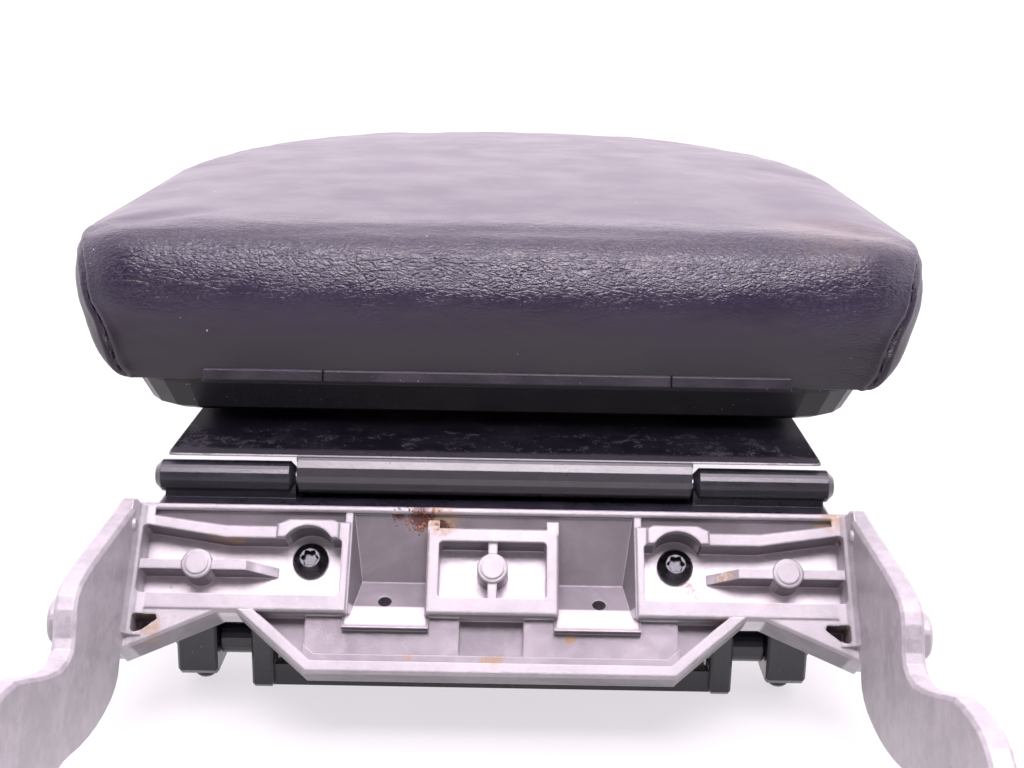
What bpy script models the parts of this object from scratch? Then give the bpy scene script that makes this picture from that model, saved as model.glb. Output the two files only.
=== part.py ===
"""Car armrest: a padded lid that slides on a hinged tray, carried by an aluminium hinge bracket.

Metres, +Z up. +Y runs from the hinge to the armrest's front end, X across it. The origin is
the middle of the line between the two rear-most fixing bosses next to the hinge, where the
bracket's arms are fastened to the console.
"""

import math

import bmesh
import bpy
from mathutils import Matrix, Vector

MM = 0.001

# Clearances
GAP = 0.3 * MM
RUN = 0.5 * MM

# Fixing bosses on the arms, seen from the side
BOSS_R = 5.25 * MM
BOSS_OUT = 6.0 * MM
BOSS_CHAMFER = 0.6 * MM
BOSS_PITCH_Y = 52.0 * MM
BOSS_DROP = 1.7 * MM

# Hinge axis from the fixing axis
HINGE_Y = 48.5 * MM
HINGE_Z = 18.3 * MM
BARREL_R = 4.1 * MM
MIDDLE_HALF = 50.2 * MM
BARREL_HALF = 86.5 * MM
PIN_R = 2.0 * MM
PIN_HALF = 78.0 * MM

# Arms of the bracket
ARM_INNER = 88.0 * MM
ARM_T = 5.0 * MM
ARM_EDGE = 0.8 * MM
LOBE_R = 15.5 * MM
LOBE_BACK = 13.5 * MM
ARM_SHOULDER_Y = 29.0 * MM
ARM_TOP_Z = 15.4 * MM
ARM_BROW_Y = 15.0 * MM
ARM_DIP_Y = 28.0 * MM
ARM_DIP_Z = 2.3 * MM
ARM_TAIL_Y = 11.7 * MM
ARM_TAIL_Z = 13.8 * MM
ARM_NEAR_DEPTH = 22.2 * MM
ARM_FAR_DEPTH = 15.3 * MM
ARM_HEEL_Y = 10.0 * MM

# Web of the bracket: tilt, and its top edge from the hinge axis
WEB_TILT = math.radians(40.0)
WEB_TOP_Y = -11.5 * MM
WEB_TOP_Z = -3.2 * MM
WEB_BACK = -11.0 * MM
WEB_WALL = 3.0 * MM
FLANGE_S = 1.7 * MM
FLANGE_LIP = 0.45 * MM
WALL_TOP_DEPTH = 1.6 * MM
POST_DRAFT = 3.4 * MM
POCKET_R = 1.1 * MM
RIB_BOTTOM_S0 = 23.1 * MM
RIB_BOTTOM_S1 = 27.2 * MM
RIB_TOP_S = 5.5 * MM
RIB_TOP_W = 3.2 * MM
RIB_ROOT_S = 2.4 * MM
KNEE_X = 66.0 * MM
POCKET_DEPTH = 7.5 * MM
POCKET_END = 86.4 * MM
MID_RIB_S = 15.6 * MM
MID_RIB_W = 2.4 * MM
EJECTOR_R = 3.8 * MM
EJECTOR_DISC_R = 2.8 * MM
EJECTOR_X = 72.5 * MM
EJECTOR_S = 15.4 * MM
FRAME_X = 35.2 * MM
POST_W = 2.0 * MM
CENTRE_HALF = 16.2 * MM
CENTRE_RIB = 2.9 * MM
SCREW_X = 45.5 * MM
SCREW_S = 12.4 * MM
COUNTERBORE_R = 6.8 * MM
HUMP_RISE = 1.2 * MM
HUMP_HALF = 7.6 * MM
LEDGE_S0 = 17.3 * MM
LEDGE_S1 = 30.7 * MM
LEDGE_SINK = 0.6 * MM
LEDGE_HOLE_AT = 0.42
LEDGE_X = 26.3 * MM
LEDGE_HOLE_R = 1.7 * MM
RIM_S = 42.0 * MM
RIM_HALF = 44.3 * MM
RIM_W = 3.0 * MM
RIM_STEP_W = 2.0 * MM
RIM_STEP = 1.6 * MM
FIELD_DEPTH = 3.2 * MM
RECESS_DEPTH = 6.0 * MM
APEX_X = 63.7 * MM
APEX_S = 25.7 * MM
STRUT_S = 37.6 * MM

# Screws through the web
SCREW_R = 2.4 * MM
SCREW_HEAD_R = 4.5 * MM
SCREW_HEAD_H = 2.9 * MM
SCREW_GRIP = 12.0 * MM

# Carrier block behind the web
CARRIER_HALF = 85.0 * MM
CARRIER_TOP = -4.9 * MM
CARRIER_BACK = 17.0 * MM
CARRIER_BOTTOM = -32.0 * MM
NECK_BACK = 2.6 * MM
LUG_INNER = 72.2 * MM
LUG_T = 10.5 * MM
LUG_FRONT = -4.5 * MM
LUG_BACK = 13.5 * MM
LUG_BOTTOM = -54.3 * MM
NUB_R = 2.8 * MM
NUB_X = 76.6 * MM
NUB_H = 2.6 * MM

# Lower shaft and the lever on it
SHAFT_Y = 2.5 * MM
SHAFT_Z = -46.0 * MM
SHAFT_R = 3.0 * MM
SHAFT_OUT = 1.4 * MM
CHEEK_OUTER = 63.0 * MM
CHEEK_T = 5.6 * MM
CHEEK_HALF_Y = 8.0 * MM
CHEEK_TOP = 8.6 * MM
CHEEK_BOTTOM = -11.0 * MM
HUB_R = 4.4 * MM
CROSSBAR_H = 6.0 * MM
CROSSBAR_Y0 = -6.0 * MM
CROSSBAR_Y1 = 2.0 * MM
SPRING_WIRE_R = 0.6 * MM
SPRING_TURNS = 4.0
SPRING_STEPS = 10
SPRING_PITCH = 1.7 * MM
SPRING_LEG = 7.0 * MM

# Tray: plate with the middle knuckle, ribs below
PLATE_TOP = 6.3 * MM
PLATE_T = 2.0 * MM
PLATE_HALF = 83.5 * MM
PLATE_REAR = -1.3 * MM
PLATE_CORNER = 2.5 * MM
PLATE_FRONT = 282.0 * MM
PLATE_FRONT_CORNER = 34.0 * MM
PLATE_EDGE_T = 0.5 * MM
PLATE_EDGE_RUN = 6.0 * MM
TRAY_RIB_T = 2.4 * MM
TRAY_RIB_H = 7.5 * MM
TRAY_RIB_REAR = 38.0 * MM
TRAY_RIB_STEP = 24.0 * MM
TRAY_RIBS_EACH_SIDE = 3
HEEL_Y = 16.0 * MM
LINER_T = 1.8 * MM
LINER_HALF = 77.0 * MM
LINER_WALL_H = 3.0 * MM
LINER_SCREW_X = 60.0 * MM
LINER_SCREW_INSET = 22.0 * MM
SMALL_SCREW_R = 1.5 * MM
SMALL_HEAD_R = 3.2 * MM
SMALL_HEAD_H = 1.6 * MM

# Lid: lower shell, board, foam and leather
SHELL_LIFT = 3.0 * MM
SHELL_H = 9.6 * MM
SHELL_WALL = 2.4 * MM
SHELL_HALF_BOTTOM = 97.5 * MM
SHELL_HALF_TOP = 101.5 * MM
SHELL_CORNER = 16.0 * MM
SHELL_FRONT_LOW = 26.0 * MM
SHELL_FRONT_TOP = 12.0 * MM
SHELL_REAR = 27.5 * MM
SHELL_REAR_LEAN = 2.5 * MM
PAD_HALF = 118.0 * MM
PAD_HALF_BOTTOM = 102.0 * MM
PAD_REAR = 22.5 * MM
PAD_REAR_LEAN = 15.0 * MM
PAD_REAR_CORNER = 20.0 * MM
PAD_FOOT_CORNER = 4.0 * MM
PAD_CORNER_EASE = 0.45
PAD_RING_EASE = 1.5
PAD_BELLY = 3.0 * MM
PAD_FRONT_FULL = 0.9
PAD_BULGE = 0.74
PAD_WIDEST = 0.62
PAD_HEIGHT = 39.1 * MM
PAD_CROWN = 2.2 * MM
PAD_STRAIGHT = 150.0 * MM
PAD_LENGTH = 310.0 * MM
PAD_EDGE_R = 13.0 * MM
LEATHER_T = 1.4 * MM
BOARD_T = 2.6 * MM
BOARD_EASE = 1.2 * MM
HEM_IN = 7.0 * MM
CLIP_CENTRE_HALF = 46.4 * MM
CLIP_OUTER = 78.8 * MM
CLIP_T = 1.3 * MM
CLIP_H = 3.6 * MM

# Guides between lid and tray
TRAVEL = 60.0 * MM
SHOE_L = 36.0 * MM
SHOE_REAR = 62.0 * MM
SHOE_FRONT = 150.0 * MM
SHOE_LIP = 5.5 * MM
SHOE_T = 2.2 * MM
STOP_Y = 120.0 * MM
STOP_R = 3.0 * MM
STOP_HEAD_R = 5.0 * MM
STOP_HEAD_H = 1.6 * MM
BOARD_SCREW_X = 55.0 * MM
BOARD_SCREW_REAR = 70.0 * MM
BOARD_SCREW_FRONT = 236.0 * MM

ROUND = 32
LEVELS = 9
OUTLINE_STEPS = 11


def clear_scene():
    for obj in list(bpy.data.objects):
        bpy.data.objects.remove(obj, do_unlink=True)
    for mesh in list(bpy.data.meshes):
        bpy.data.meshes.remove(mesh)


def material(name, color, roughness, metallic=0.0):
    mat = bpy.data.materials.new(name)
    mat.use_nodes = True
    shader = mat.node_tree.nodes["Principled BSDF"]
    shader.inputs["Base Color"].default_value = (*color, 1.0)
    shader.inputs["Roughness"].default_value = roughness
    shader.inputs["Metallic"].default_value = metallic
    mat.diffuse_color = (*color, 1.0)
    return mat


def new_object(name, bm):
    bmesh.ops.remove_doubles(bm, verts=bm.verts, dist=1e-7)
    bmesh.ops.recalc_face_normals(bm, faces=bm.faces)
    mesh = bpy.data.meshes.new(name)
    bm.to_mesh(mesh)
    bm.free()
    obj = bpy.data.objects.new(name, mesh)
    bpy.context.scene.collection.objects.link(obj)
    return obj


def bake(obj):
    bpy.context.view_layer.update()
    graph = bpy.context.evaluated_depsgraph_get()
    mesh = bpy.data.meshes.new_from_object(obj.evaluated_get(graph))
    old = obj.data
    obj.modifiers.clear()
    obj.data = mesh
    bpy.data.meshes.remove(old)


def boolean(target, tool, operation):
    mod = target.modifiers.new(operation.lower(), "BOOLEAN")
    mod.operation = operation
    mod.solver = "EXACT"
    mod.object = tool
    bake(target)
    mesh = tool.data
    bpy.data.objects.remove(tool, do_unlink=True)
    bpy.data.meshes.remove(mesh)
    return target


def add(target, *tools):
    for tool in tools:
        boolean(target, tool, "UNION")
    return target


def cut(target, *tools):
    for tool in tools:
        boolean(target, tool, "DIFFERENCE")
    return target


def finish(obj, name, mat, angle=32.0, origin=None):
    obj.name = name
    obj.data.name = name
    obj.data.materials.clear()
    obj.data.materials.append(mat)
    obj.data.shade_smooth()
    obj.data.set_sharp_from_angle(angle=math.radians(angle))
    if origin is not None:
        obj.data.transform(Matrix.Translation(-Vector(origin)))
        obj.location = origin
    return obj


def extrude(name, points, offset, edge=0.0, segments=1, both=True):
    """Closed prism from a flat outline, its rim edges eased by edge."""
    bm = bmesh.new()
    base = [bm.verts.new(p) for p in points]
    face = bm.faces.new(base)
    made = bmesh.ops.extrude_face_region(bm, geom=[face])
    top = [v for v in made["geom"] if isinstance(v, bmesh.types.BMVert)]
    bmesh.ops.translate(bm, verts=top, vec=offset)
    bmesh.ops.recalc_face_normals(bm, faces=bm.faces)
    if edge > 0.0:
        near = set(top)
        rim = [e for e in bm.edges if all(v in near for v in e.verts)]
        if both:
            low = set(base)
            rim += [e for e in bm.edges if all(v in low for v in e.verts)]
        bmesh.ops.bevel(bm, geom=rim, offset=edge, segments=segments, affect="EDGES", profile=0.5)
    return new_object(name, bm)


def side(name, outline, x0, x1, edge=0.0, segments=1):
    """Prism along X from an outline of (y, z) measured from the hinge axis."""
    points = [Vector((x0, HINGE_Y + y, HINGE_Z + z)) for y, z in outline]
    return extrude(name, points, Vector((x1 - x0, 0.0, 0.0)), edge, segments)


def box(name, x0, x1, y0, y1, z0, z1, edge=0.0):
    """Box from the hinge axis in Y and Z."""
    outline = [(y0, z0), (y1, z0), (y1, z1), (y0, z1)]
    return side(name, outline, x0, x1, edge)


def plan(name, outline, z0, z1, edge=0.0, both=True):
    """Prism along Z from an outline of (x, y), y and z from the hinge axis."""
    points = [Vector((x, HINGE_Y + y, HINGE_Z + z0)) for x, y in outline]
    return extrude(name, points, Vector((0.0, 0.0, z1 - z0)), edge, 1, both)


def web_yz(s, n):
    """Point of the web's plane, s down the slope and n out of it, from the hinge axis."""
    y = WEB_TOP_Y - s * math.sin(WEB_TILT) - n * math.cos(WEB_TILT)
    z = WEB_TOP_Z - s * math.cos(WEB_TILT) + n * math.sin(WEB_TILT)
    return y, z


def web_local(y, z):
    """Slope and height in the web's own frame of a point (y, z) from the hinge axis."""
    y -= WEB_TOP_Y
    z -= WEB_TOP_Z
    s = -y * math.sin(WEB_TILT) - z * math.cos(WEB_TILT)
    n = -y * math.cos(WEB_TILT) + z * math.sin(WEB_TILT)
    return s, n


def web_point(x, s, n):
    """Point in the web's own frame, in which its pieces are made before they are laid."""
    return Vector((x, s, -n))


def lay(obj):
    """Turn a piece made in the web's own frame to its slope."""
    origin = Vector((0.0, HINGE_Y + WEB_TOP_Y, HINGE_Z + WEB_TOP_Z))
    turn = Matrix.Rotation(-math.pi / 2.0 - WEB_TILT, 4, "X")
    obj.data.transform(Matrix.Translation(origin) @ turn)
    return obj


def web_prism(name, outline, n0, n1, edge=0.0):
    """Prism out of the web's plane, from an outline of (x, s)."""
    points = [web_point(x, s, n0) for x, s in outline]
    offset = web_point(0.0, 0.0, n1) - web_point(0.0, 0.0, n0)
    return extrude(name, points, offset, edge, 1, False)


def web_profile(name, outline, x0, x1, edge=0.0):
    """Prism along X, from an outline of (s, n)."""
    points = [web_point(x0, s, n) for s, n in outline]
    return extrude(name, points, Vector((x1 - x0, 0.0, 0.0)), edge)


def web_section(name, outline, s0, s1):
    """Prism down the web, from an outline of (x, n)."""
    points = [web_point(x, s0, n) for x, n in outline]
    offset = web_point(0.0, s1, 0.0) - web_point(0.0, s0, 0.0)
    return extrude(name, points, offset)


def circle(cx, cy, r, count=ROUND, start=0.0, end=2.0 * math.pi):
    full = abs(end - start - 2.0 * math.pi) < 1e-9
    steps = count if full else count - 1
    turn = [start + (end - start) * i / steps for i in range(count)]
    return [(cx + r * math.cos(a), cy + r * math.sin(a)) for a in turn]


def turned(name, profile, point, direction, count=ROUND):
    """Solid of revolution. The profile is (radius, height) from the axis back to the axis."""
    axis = Vector(direction).normalized()
    turn = axis.to_track_quat("Z", "Y").to_matrix().to_4x4()
    place = Matrix.Translation(Vector(point)) @ turn
    bm = bmesh.new()
    rings = []
    for r, h in profile:
        if r < 1e-9:
            rings.append([bm.verts.new((0.0, 0.0, h))])
        else:
            rings.append([bm.verts.new((x, y, h)) for x, y in circle(0.0, 0.0, r, count)])
    for low, high in zip(rings, rings[1:]):
        for i in range(count):
            j = (i + 1) % count
            corners = [low[i % len(low)], low[j % len(low)], high[j % len(high)], high[i % len(high)]]
            bm.faces.new(list(dict.fromkeys(corners)))
    bmesh.ops.transform(bm, matrix=place, verts=bm.verts)
    return new_object(name, bm)


def rod(name, r, point, direction, length, count=ROUND, chamfer=0.0):
    c = min(chamfer, 0.45 * r, 0.45 * length)
    if c > 0.0:
        profile = [(0.0, 0.0), (r - c, 0.0), (r, c), (r, length - c), (r - c, length), (0.0, length)]
    else:
        profile = [(0.0, 0.0), (r, 0.0), (r, length), (0.0, length)]
    return turned(name, profile, point, direction, count)


def rod_x(name, r, x0, x1, y, z, count=ROUND, chamfer=0.0):
    point = (x0, HINGE_Y + y, HINGE_Z + z)
    return rod(name, r, point, (1.0, 0.0, 0.0), x1 - x0, count, chamfer)


def rod_z(name, r, x, y, z0, z1, count=ROUND, chamfer=0.0):
    point = (x, HINGE_Y + y, HINGE_Z + z0)
    return rod(name, r, point, (0.0, 0.0, 1.0), z1 - z0, count, chamfer)


def web_rod(name, r, x, s, n0, n1, count=ROUND, chamfer=0.0):
    base = web_point(x, s, n0)
    tip = web_point(x, s, n1)
    return rod(name, r, base, tip - base, (tip - base).length, count, chamfer)


def inset(outline, distance):
    """Convex outline moved inwards by the distance."""
    count = len(outline)
    centre = Vector((sum(p[0] for p in outline), sum(p[1] for p in outline))) / count
    lines = []
    for i in range(count):
        a = Vector(outline[i])
        b = Vector(outline[(i + 1) % count])
        along = (b - a).normalized()
        inward = Vector((-along.y, along.x))
        if inward.dot(centre - a) < 0.0:
            inward = -inward
        lines.append((a + inward * distance, along))
    result = []
    for i in range(count):
        p, u = lines[i - 1]
        q, v = lines[i]
        t = ((q - p).x * v.y - (q - p).y * v.x) / (u.x * v.y - u.y * v.x)
        result.append(tuple(p + u * t))
    return result


def smooth_line(points, steps=3):
    """Catmull-Rom curve through the points, ends kept."""
    pts = [Vector(p) for p in points]
    line = [pts[0]]
    for i in range(len(pts) - 1):
        a = pts[max(i - 1, 0)]
        b = pts[i]
        c = pts[i + 1]
        d = pts[min(i + 2, len(pts) - 1)]
        for k in range(1, steps + 1):
            t = k / steps
            p = 2.0 * b + (c - a) * t + (2.0 * a - 5.0 * b + 4.0 * c - d) * t * t
            p += (3.0 * b - a - 3.0 * c + d) * t * t * t
            line.append(p * 0.5)
    return [tuple(p) for p in line]


def eased(outline, r, steps=3):
    """Outline with its corners rounded."""
    result = []
    count = len(outline)
    for i in range(count):
        corner = Vector(outline[i])
        to_last = (Vector(outline[i - 1]) - corner).normalized()
        to_next = (Vector(outline[(i + 1) % count]) - corner).normalized()
        half = 0.5 * to_last.angle(to_next)
        centre = corner + (to_last + to_next).normalized() * (r / math.sin(half))
        start = corner + to_last * (r / math.tan(half)) - centre
        end = corner + to_next * (r / math.tan(half)) - centre
        for k in range(steps + 1):
            spoke = start.lerp(end, k / steps).normalized() * r
            result.append((centre.x + spoke.x, centre.y + spoke.y))
    return result


def mirrored(outline, sign):
    return [(sign * x, y) for x, y in outline]


# The bracket


def arm_outline():
    """Side view of one arm, (y, z) from the hinge axis."""
    near = Vector((-HINGE_Y, -HINGE_Z))
    far = near + Vector((-BOSS_PITCH_Y, -BOSS_DROP))
    proud = 0.6 * MM
    root = Vector(web_yz(-proud, proud))
    foot = Vector(web_yz(STRUT_S, 0.0))
    lobe = far + Vector((-LOBE_BACK, 0.0))
    up = LOBE_R - 0.2 * MM
    top = [
        root,
        near + Vector((ARM_SHOULDER_Y, ARM_TOP_Z)),
        near + Vector((0.3 * ARM_BROW_Y, ARM_TOP_Z - 0.1 * MM)),
        near + Vector((-0.53 * ARM_BROW_Y, ARM_TOP_Z - 0.6 * MM)),
        near + Vector((-ARM_BROW_Y, ARM_TOP_Z - 2.4 * MM)),
        near + Vector((-ARM_BROW_Y - 3.2 * MM, ARM_DIP_Z + 5.3 * MM)),
        near + Vector((-ARM_BROW_Y - 5.5 * MM, ARM_DIP_Z + 0.7 * MM)),
        near + Vector((-ARM_DIP_Y, ARM_DIP_Z)),
        far + Vector((ARM_TAIL_Y, ARM_TAIL_Z - 5.3 * MM)),
        far + Vector((0.0, ARM_TAIL_Z)),
        lobe + Vector((4.0 * MM, up)),
    ]
    low = [
        lobe + Vector((2.0 * MM, -LOBE_R)),
        far + Vector((ARM_TAIL_Y - 6.7 * MM, -ARM_FAR_DEPTH)),
        far + Vector((ARM_TAIL_Y + 8.3 * MM, -ARM_FAR_DEPTH - 0.7 * MM)),
        near + Vector((-ARM_BROW_Y - 6.0 * MM, -ARM_NEAR_DEPTH + 1.8 * MM)),
        near + Vector((-ARM_BROW_Y + 5.6 * MM, -ARM_NEAR_DEPTH)),
        near + Vector((ARM_HEEL_Y - 7.0 * MM, -ARM_NEAR_DEPTH + 0.3 * MM)),
        near + Vector((ARM_HEEL_Y, -ARM_NEAR_DEPTH + 3.2 * MM)),
        foot,
    ]
    arc = circle(lobe.x, lobe.y, LOBE_R, 11, math.radians(95.0), math.radians(265.0))
    behind = WEB_BACK - proud
    back = [web_yz(STRUT_S - 0.8 * MM, behind), web_yz(-proud, behind)]
    return smooth_line(top, 2) + arc + smooth_line(low, 2) + back


def make_arm(sign):
    x0 = sign * ARM_INNER
    x1 = sign * (ARM_INNER + ARM_T)
    outline = [web_local(y, z) for y, z in arm_outline()]
    arm = web_profile("arm", outline, x0, x1, ARM_EDGE)
    near = web_local(-HINGE_Y, -HINGE_Z)
    far = web_local(-HINGE_Y - BOSS_PITCH_Y, -HINGE_Z - BOSS_DROP)
    sunk = 2.0 * MM
    for s, n in (near, far):
        point = web_point(x1 - sign * sunk, s, n)
        add(arm, rod("boss", BOSS_R, point, (sign, 0.0, 0.0), BOSS_OUT + sunk, 28, BOSS_CHAMFER))
    point = web_point(x0 + sign * 1.0 * MM, 7.0 * MM, 3.6 * MM)
    add(arm, rod("dimple", 1.5 * MM, point, (-sign, 0.0, 0.0), 1.8 * MM, 16, 0.3 * MM))
    return arm


def make_field():
    """Lower field of the web, with a stepped rim below and at its sides, and shallow recesses."""
    top = RIB_BOTTOM_S1 - 0.9 * MM
    above = RIB_TOP_S
    lean = (APEX_X - RIM_HALF) / (RIM_S - APEX_S)
    wide = RIM_HALF + (RIM_S - top) * lean
    wider = RIM_HALF + (RIM_S - above) * lean
    outline = [(-wide, top), (wide, top), (RIM_HALF, RIM_S), (-RIM_HALF, RIM_S)]
    tall = [(-wider, above), (wider, above), (RIM_HALF, RIM_S), (-RIM_HALF, RIM_S)]
    over = 3.0 * MM
    field = web_prism("field", outline, WEB_BACK + 2.5 * MM, 0.0, 0.7 * MM)
    cut(field, web_prism("step", inset(tall, RIM_W), -RIM_STEP, over))
    cut(field, web_prism("floor", inset(tall, RIM_W + RIM_STEP_W), -FIELD_DEPTH, over))
    notch_top = RIB_BOTTOM_S1 - 1.5 * MM
    notch = 7.8 * MM
    notch_low = RIM_S - RIM_W - RIM_STEP_W
    square = [(-notch, notch_top), (notch, notch_top), (notch, notch_low), (-notch, notch_low)]
    cut(field, web_prism("notch", eased(square, POCKET_R), -RECESS_DEPTH, over))
    corner = RIM_HALF + 1.0 * MM
    reach = RIM_HALF + (RIM_S - notch_top) * lean - 5.2 * MM
    for sign in (-1.0, 1.0):
        high = notch_top
        low = high + (reach - corner) / lean
        wedge = [(corner, high), (reach, high), (corner, low)]
        cut(field, web_prism("wedge", mirrored(wedge, sign), -RECESS_DEPTH, over))
    return field


def ejector(x):
    """Round boss with the raised mark of an ejector pin."""
    base = -POCKET_DEPTH - 1.0 * MM
    top = -0.3 * MM - base
    r = EJECTOR_R
    ease = 0.3 * MM
    mark = top + 0.35 * MM
    profile = [
        (0.0, 0.0),
        (r, 0.0),
        (r, top - ease),
        (r - ease, top),
        (EJECTOR_DISC_R, top),
        (EJECTOR_DISC_R, mark),
        (0.0, mark),
    ]
    out = web_point(0.0, 0.0, 1.0) - web_point(0.0, 0.0, 0.0)
    return turned("ejector", profile, web_point(x, EJECTOR_S, base), out, 28)


def frame_outline():
    root = ARM_INNER + 1.4 * MM
    high = RIB_TOP_S - 1.3 * MM
    return [
        (FRAME_X, high),
        (SCREW_X + HUMP_HALF - 2.9 * MM, high),
        (SCREW_X + HUMP_HALF, RIB_TOP_S),
        (KNEE_X, RIB_TOP_S),
        (root, RIB_ROOT_S),
        (root, RIB_BOTTOM_S1),
        (FRAME_X, RIB_BOTTOM_S1),
    ]


def make_bracket(mat):
    root = ARM_INNER + 2.0 * MM
    over = 6.0 * MM
    floor = -POCKET_DEPTH
    web = make_field()
    lip = FLANGE_LIP
    flange = [
        (0.0, WEB_BACK),
        (0.0, -lip),
        (lip, 0.0),
        (FLANGE_S - lip, 0.0),
        (FLANGE_S, -lip),
        (FLANGE_S, WEB_BACK),
    ]
    add(web, web_profile("flange", flange, -root, root))
    in_wall = root - 0.3 * MM
    wall_low = RIB_BOTTOM_S1 - 0.6 * MM
    wall = [
        (lip, WEB_BACK),
        (lip, -WALL_TOP_DEPTH),
        (FLANGE_S, -WALL_TOP_DEPTH),
        (LEDGE_S0, WEB_BACK + WEB_WALL),
        (wall_low, WEB_BACK + WEB_WALL),
        (wall_low, WEB_BACK),
    ]
    add(web, web_profile("wall", wall, -in_wall, in_wall))
    ledge = [
        (LEDGE_S0 - 1.5 * MM, WEB_BACK + WEB_WALL - 0.9 * MM),
        (LEDGE_S1, -LEDGE_SINK),
        (LEDGE_S1, -FIELD_DEPTH - 1.5 * MM),
        (LEDGE_S1 - 6.0 * MM, WEB_BACK),
        (LEDGE_S0 - 1.5 * MM, WEB_BACK),
    ]
    centre_top = RIB_TOP_S - 0.2 * MM
    centre = [
        (-CENTRE_HALF, centre_top),
        (CENTRE_HALF, centre_top),
        (CENTRE_HALF, RIB_BOTTOM_S1),
        (-CENTRE_HALF, RIB_BOTTOM_S1),
    ]
    add(web, web_prism("centre", centre, WEB_BACK, 0.0, 0.5 * MM))
    for sign in (-1.0, 1.0):
        add(web, web_prism("frame", mirrored(frame_outline(), sign), WEB_BACK, 0.0, 0.5 * MM))
        x0, x1 = sorted((sign * (CENTRE_HALF - 1.0 * MM), sign * (FRAME_X + 1.0 * MM)))
        add(web, web_profile("ledge", ledge, x0, x1))
        draft = [
            (FRAME_X + 1.5 * MM, WEB_BACK + 1.3 * MM),
            (FRAME_X + 1.5 * MM, -LEDGE_SINK),
            (FRAME_X - 0.2 * MM, -LEDGE_SINK),
            (FRAME_X - POST_DRAFT, WEB_BACK + 1.3 * MM),
        ]
        draft_low = RIB_BOTTOM_S1 - 0.3 * MM
        add(web, web_section("draft", mirrored(draft, sign), FLANGE_S - 0.4 * MM, draft_low))
        ear_x0, ear_x1 = sorted((sign * (CENTRE_HALF - CENTRE_RIB), sign * CENTRE_HALF))
        ear_s = centre_top - 1.8 * MM
        ear = [(ear_x0, ear_s), (ear_x1, ear_s), (ear_x1, centre_top + 1.0), (ear_x0, centre_top + 1.0)]
        ear = [(x, min(s, centre_top + 1.5 * MM)) for x, s in ear]
        add(web, web_prism("ear", ear, WEB_BACK + 1.0 * MM, -0.2 * MM))
        in_strut = root - 0.9 * MM
        strut = [
            (APEX_X - 8.0 * MM, RIB_BOTTOM_S0 + 1.0 * MM),
            (APEX_X - 1.0 * MM, APEX_S),
            (in_strut, STRUT_S),
            (in_strut, RIB_BOTTOM_S0 + 1.0 * MM),
        ]
        add(web, web_prism("strut", mirrored(strut, sign), WEB_BACK, -0.4 * MM, 0.6 * MM))
        fillet = [
            (ARM_INNER - 4.0 * MM, -1.0 * MM),
            (ARM_INNER - 4.0 * MM, 0.0),
            (ARM_INNER - 2.2 * MM, 0.4 * MM),
            (ARM_INNER - 0.9 * MM, 1.4 * MM),
            (ARM_INNER - 0.1 * MM, 3.0 * MM),
            (ARM_INNER + 0.6 * MM, 4.6 * MM),
            (ARM_INNER + 0.8 * MM, 4.6 * MM),
            (ARM_INNER + 0.8 * MM, -1.0 * MM),
        ]
        add(web, web_section("fillet", mirrored(fillet, sign), 1.0 * MM, STRUT_S - 4.0 * MM))
        hump_top = RIB_TOP_S - 1.45 * MM
        hump_low = RIB_TOP_S + RIB_TOP_W + 0.5 * MM
        hump = [
            (SCREW_X - HUMP_HALF, hump_low),
            (SCREW_X - HUMP_HALF, hump_top + 0.8 * MM),
            (SCREW_X - HUMP_HALF + 1.6 * MM, hump_top),
            (SCREW_X + HUMP_HALF - 2.7 * MM, hump_top),
            (SCREW_X + HUMP_HALF + 0.3 * MM, RIB_TOP_S - 0.15 * MM),
            (SCREW_X + HUMP_HALF + 0.3 * MM, hump_low),
        ]
        add(web, web_prism("hump", mirrored(hump, sign), -1.2 * MM, HUMP_RISE, 0.5 * MM))
        pocket = [
            (FRAME_X + POST_W, RIB_TOP_S + RIB_TOP_W),
            (KNEE_X, RIB_TOP_S + RIB_TOP_W),
            (POCKET_END, RIB_ROOT_S + RIB_TOP_W),
            (POCKET_END, RIB_BOTTOM_S0),
            (FRAME_X + POST_W, RIB_BOTTOM_S0),
        ]
        cut(web, web_prism("pocket", mirrored(eased(pocket, POCKET_R), sign), floor, over))
        cut(web, web_rod("counterbore", COUNTERBORE_R, sign * SCREW_X, SCREW_S, floor, over))
        gusset = [
            (ARM_INNER - 9.0 * MM, RIB_BOTTOM_S1 + 1.1 * MM),
            (POCKET_END, RIB_BOTTOM_S1 + 1.1 * MM),
            (POCKET_END, STRUT_S - 4.4 * MM),
            (POCKET_END - 2.0 * MM, STRUT_S - 5.0 * MM),
        ]
        cut(web, web_prism("gusset", mirrored(eased(gusset, 0.8 * MM), sign), floor, over))
        rib_end = ARM_INNER - 0.5 * MM
        rib = [
            (rib_end, floor - 1.0 * MM),
            (rib_end, -0.7 * MM),
            (SCREW_X + 15.0 * MM, -0.7 * MM),
            (SCREW_X + COUNTERBORE_R + 1.0 * MM, floor + 0.3 * MM),
            (SCREW_X + COUNTERBORE_R + 1.0 * MM, floor - 1.0 * MM),
        ]
        s0 = MID_RIB_S - MID_RIB_W / 2.0
        add(web, web_section("rib", mirrored(rib, sign), s0, s0 + MID_RIB_W))
        add(web, ejector(sign * EJECTOR_X))
        cut(web, web_rod("hole", SCREW_R + GAP, sign * SCREW_X, SCREW_S, WEB_BACK - over, 0.0, 24))
        rise = math.atan2(-(WEB_BACK + WEB_WALL), LEDGE_S1 - LEDGE_S0)
        mid_s = LEDGE_S0 + LEDGE_HOLE_AT * (LEDGE_S1 - LEDGE_S0)
        mid_n = (1.0 - LEDGE_HOLE_AT) * (WEB_BACK + WEB_WALL)
        out_s = -math.sin(rise)
        out_n = math.cos(rise)
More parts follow.
